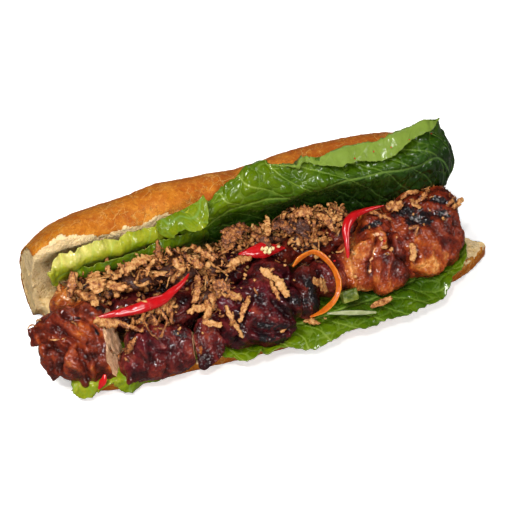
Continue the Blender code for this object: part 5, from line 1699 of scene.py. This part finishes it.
class SANDWICH_OT_vegetables(bpy.types.Operator):
    """Make the carrot curl, the raw onion strand and the cucumber piece"""
    bl_idname = "sandwich.vegetables"
    bl_label = "Carrot, raw onion and cucumber"

    def execute(self, context):
        orange = moist_strip("carrot_flesh", (0.0, (0.34, 0.05, 0.003)), (0.5, (0.56, 0.13, 0.006)),
                             (1.0, (0.75, 0.27, 0.025)))
        rings = 160
        middle = spline(CARROT, rings)
        centre = sum(middle, Vector()) / rings
        profile = ((-1, -0.7), (-0.6, -1), (0, -1.05), (0.6, -1), (1, -0.7), (1.08, 0), (1, 0.7), (0.6, 1),
                   (0, 1.05), (-0.6, 1), (-1, 0.7), (-1.08, 0))
        p, pale = [], []
        for i, at in enumerate(middle):
            ahead = ahead_at(middle, i)
            out = at - centre
            out = (out - ahead * out.dot(ahead)).normalized()
            side = ahead.cross(out).normalized()
            out, side = mix(out, side, 0.42).normalized(), mix(side, -out, 0.42).normalized()
            wide = 1.45 * (1 + 0.10 * math.sin(i * 0.16))
            wide *= min(1.0, 0.35 + i / 20, 0.3 + (rings - 1 - i) / 26)
            for a, b in profile:
                p.append(at + out * a * wide + side * b * 0.55)
                pale.append(0.30 + 0.35 * abs(a) ** 3)
        mesh = mesh_from("carrot_curl", np.array(p), rod_faces(rings, len(profile)))
        outward(mesh)
        n = normals_of(mesh)
        move_points(mesh, points_of(mesh) + n * (0.14 * layered(np.array(p), 3, 5, 3))[:, None])
        paint(mesh, "pale", pale)
        finished("carrot_curl", mesh, orange, "carrot", "carrot_curl")
        white = moist_strip("raw_onion_flesh", (0.0, (0.26, 0.29, 0.13)), (1.0, (0.60, 0.62, 0.42)))
        p, faces, along, turn = tube(STRAND, (0.5, 1.2, 1.3, 0.5), 70, 16, 0.5)
        mesh = mesh_from("raw_onion_strand", p + 0.25 * drift(p, 6, 0), faces)
        outward(mesh)
        paint(mesh, "pale", 0.5 + 0.4 * np.sin(turn))
        finished("raw_onion_strand", mesh, white, "raw_onion", "raw_onion_strand")
        green = moist_strip("cucumber_flesh", (0.0, (0.030, 0.065, 0.004)), (0.5, (0.17, 0.20, 0.025)),
                            (1.0, (0.38, 0.40, 0.10)))
        bm = bmesh.new()
        turn = (Matrix.Rotation(math.radians(12), 4, "Z") @ Matrix.Rotation(math.radians(8), 4, "Y")
                @ Matrix.Rotation(math.radians(-35), 4, "X"))
        bmesh.ops.create_cube(bm, size=1.0, matrix=Matrix.Diagonal((9.4, 3.2, 6.4, 1.0)))
        place = Matrix.Translation(Vector((40.5, -38.5, 23.4)) + Vector(SHIFT))
        bmesh.ops.transform(bm, verts=bm.verts, matrix=Matrix.Scale(MM, 4) @ place @ turn)
        mesh = bpy.data.meshes.new("cucumber_piece")
        bm.to_mesh(mesh)
        bm.free()
        block = blended("cucumber_piece", mesh, 0.4, 5, green)
        p, n = points_of(block.data), normals_of(block.data)
        move_points(block.data, p + n * (0.25 + 0.25 * layered(p, 3, 9, 3))[:, None])
        paint(block.data, "pale", 0.55 - 0.5 * fade(0.3, 0.8, n[:, 2]) + 0.3 * layered(p, 4, 10, 2))
        belongs(block, "cucumber", "cucumber_piece")
        return {"FINISHED"}


class SANDWICH_OT_studio(bpy.types.Operator):
    """Set the floor, the soft lights and the camera"""
    bl_idname = "sandwich.studio"
    bl_label = "Studio"

    def execute(self, context):
        scene = context.scene
        settings = scene.sandwich_studio
        target = Vector((SHIFT[0], SHIFT[1], 33.0)) * MM
        turn, height = settings.turn, settings.height
        look = Vector((math.sin(turn) * math.cos(height), math.cos(turn) * math.cos(height),
                       -math.sin(height)))
        camera = bpy.data.objects.new("camera", bpy.data.cameras.new("camera"))
        scene.collection.objects.link(camera)
        camera.location = target - look * settings.distance
        camera.rotation_euler = look.to_track_quat("-Z", "Y").to_euler()
        camera.data.lens = camera.data.sensor_width * settings.distance / settings.width
        camera.data.clip_start = 0.01
        scene.camera = camera
        floor = Finish("studio_floor", roughness=0.9, specular=0.0)
        seen = new_node(floor.tree, "ShaderNodeLightPath").outputs["Is Camera Ray"]
        floor = floor.wear(Base_Color=floor.blend(seen, (0.24, 0.23, 0.22), (1.0, 1.0, 1.0)),
                           Emission_Color=(1.0, 1.0, 1.0), Emission_Strength=floor.times(seen, 0.45))
        mesh = bpy.data.meshes.new("floor")
        mesh.from_pydata([(-4, -4, 0), (4, -4, 0), (4, 4, 0), (-4, 4, 0)], [], [(0, 1, 2, 3)])
        ground = shown("floor", mesh, floor)
        ground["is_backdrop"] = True
        for name, place, size, power, tone in (
                ("key", (-0.58, -0.32, 1.08), 0.25, 1.0, (1.0, 0.98, 0.95)),
                ("glint", (-0.30, -0.62, 0.98), 0.045, 0.34, (1.0, 1.0, 1.0)),
                ("front", (-0.25, -1.30, 0.50), 0.34, 0.76, (1.0, 0.97, 0.93)),
                ("side", (0.95, -0.75, 0.80), 0.40, 0.35, (1.0, 0.98, 0.96)),
                ("back", (0.35, 1.0, 0.95), 0.60, 0.24, (1.0, 1.0, 1.0))):
            lamp = bpy.data.lights.new(name, "AREA")
            lamp.size = size
            lamp.energy = settings.light * power
            lamp.color = tone
            light = bpy.data.objects.new(name, lamp)
            scene.collection.objects.link(light)
            light.location = place
            toward = Vector((0, 0, 0.03)) - light.location
            light.rotation_euler = toward.to_track_quat("-Z", "Y").to_euler()
        world = bpy.data.worlds.new("studio")
        world.use_nodes = True
        sky = world.node_tree.nodes["Background"].inputs
        sky["Color"].default_value = (1.0, 1.0, 1.0, 1.0)
        sky["Strength"].default_value = 0.06
        scene.world = world
        scene.view_settings.view_transform = "Standard"
        scene.view_settings.look = "None"
        return {"FINISHED"}


class SANDWICH_PT_panel(bpy.types.Panel):
    """Lists what makes the sandwich"""
    bl_idname = "SANDWICH_PT_panel"
    bl_label = "Chicken sandwich"
    bl_space_type = "VIEW_3D"
    bl_region_type = "UI"
    bl_category = "Sandwich"

    def draw(self, context):
        for operator in OPERATORS:
            self.layout.operator(operator.bl_idname)
        for name in SETTINGS:
            group = getattr(context.scene, name)
            for key in group.bl_rna.properties.keys():
                if key not in ("name", "rna_type"):
                    self.layout.prop(group, key)


OPERATORS = (SANDWICH_OT_roll, SANDWICH_OT_leaves, SANDWICH_OT_chicken, SANDWICH_OT_onions,
             SANDWICH_OT_chillies, SANDWICH_OT_vegetables, SANDWICH_OT_studio)
SETTINGS = {"sandwich_roll": RollSettings, "sandwich_chicken": ChickenSettings,
            "sandwich_onions": OnionSettings, "sandwich_studio": StudioSettings}


def register():
    for group in (*SETTINGS.values(), *OPERATORS, SANDWICH_PT_panel):
        bpy.utils.register_class(group)
    for name, group in SETTINGS.items():
        setattr(bpy.types.Scene, name, PointerProperty(type=group))


def unregister():
    for name in SETTINGS:
        delattr(bpy.types.Scene, name)
    for group in reversed((*SETTINGS.values(), *OPERATORS, SANDWICH_PT_panel)):
        bpy.utils.unregister_class(group)


def main():
    register()
    bpy.ops.sandwich.roll()
    bpy.ops.sandwich.leaves()
    bpy.ops.sandwich.chicken()
    bpy.ops.sandwich.onions()
    bpy.ops.sandwich.chillies()
    bpy.ops.sandwich.vegetables()
    bpy.ops.sandwich.studio()
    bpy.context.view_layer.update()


if __name__ == "__main__":
    main()
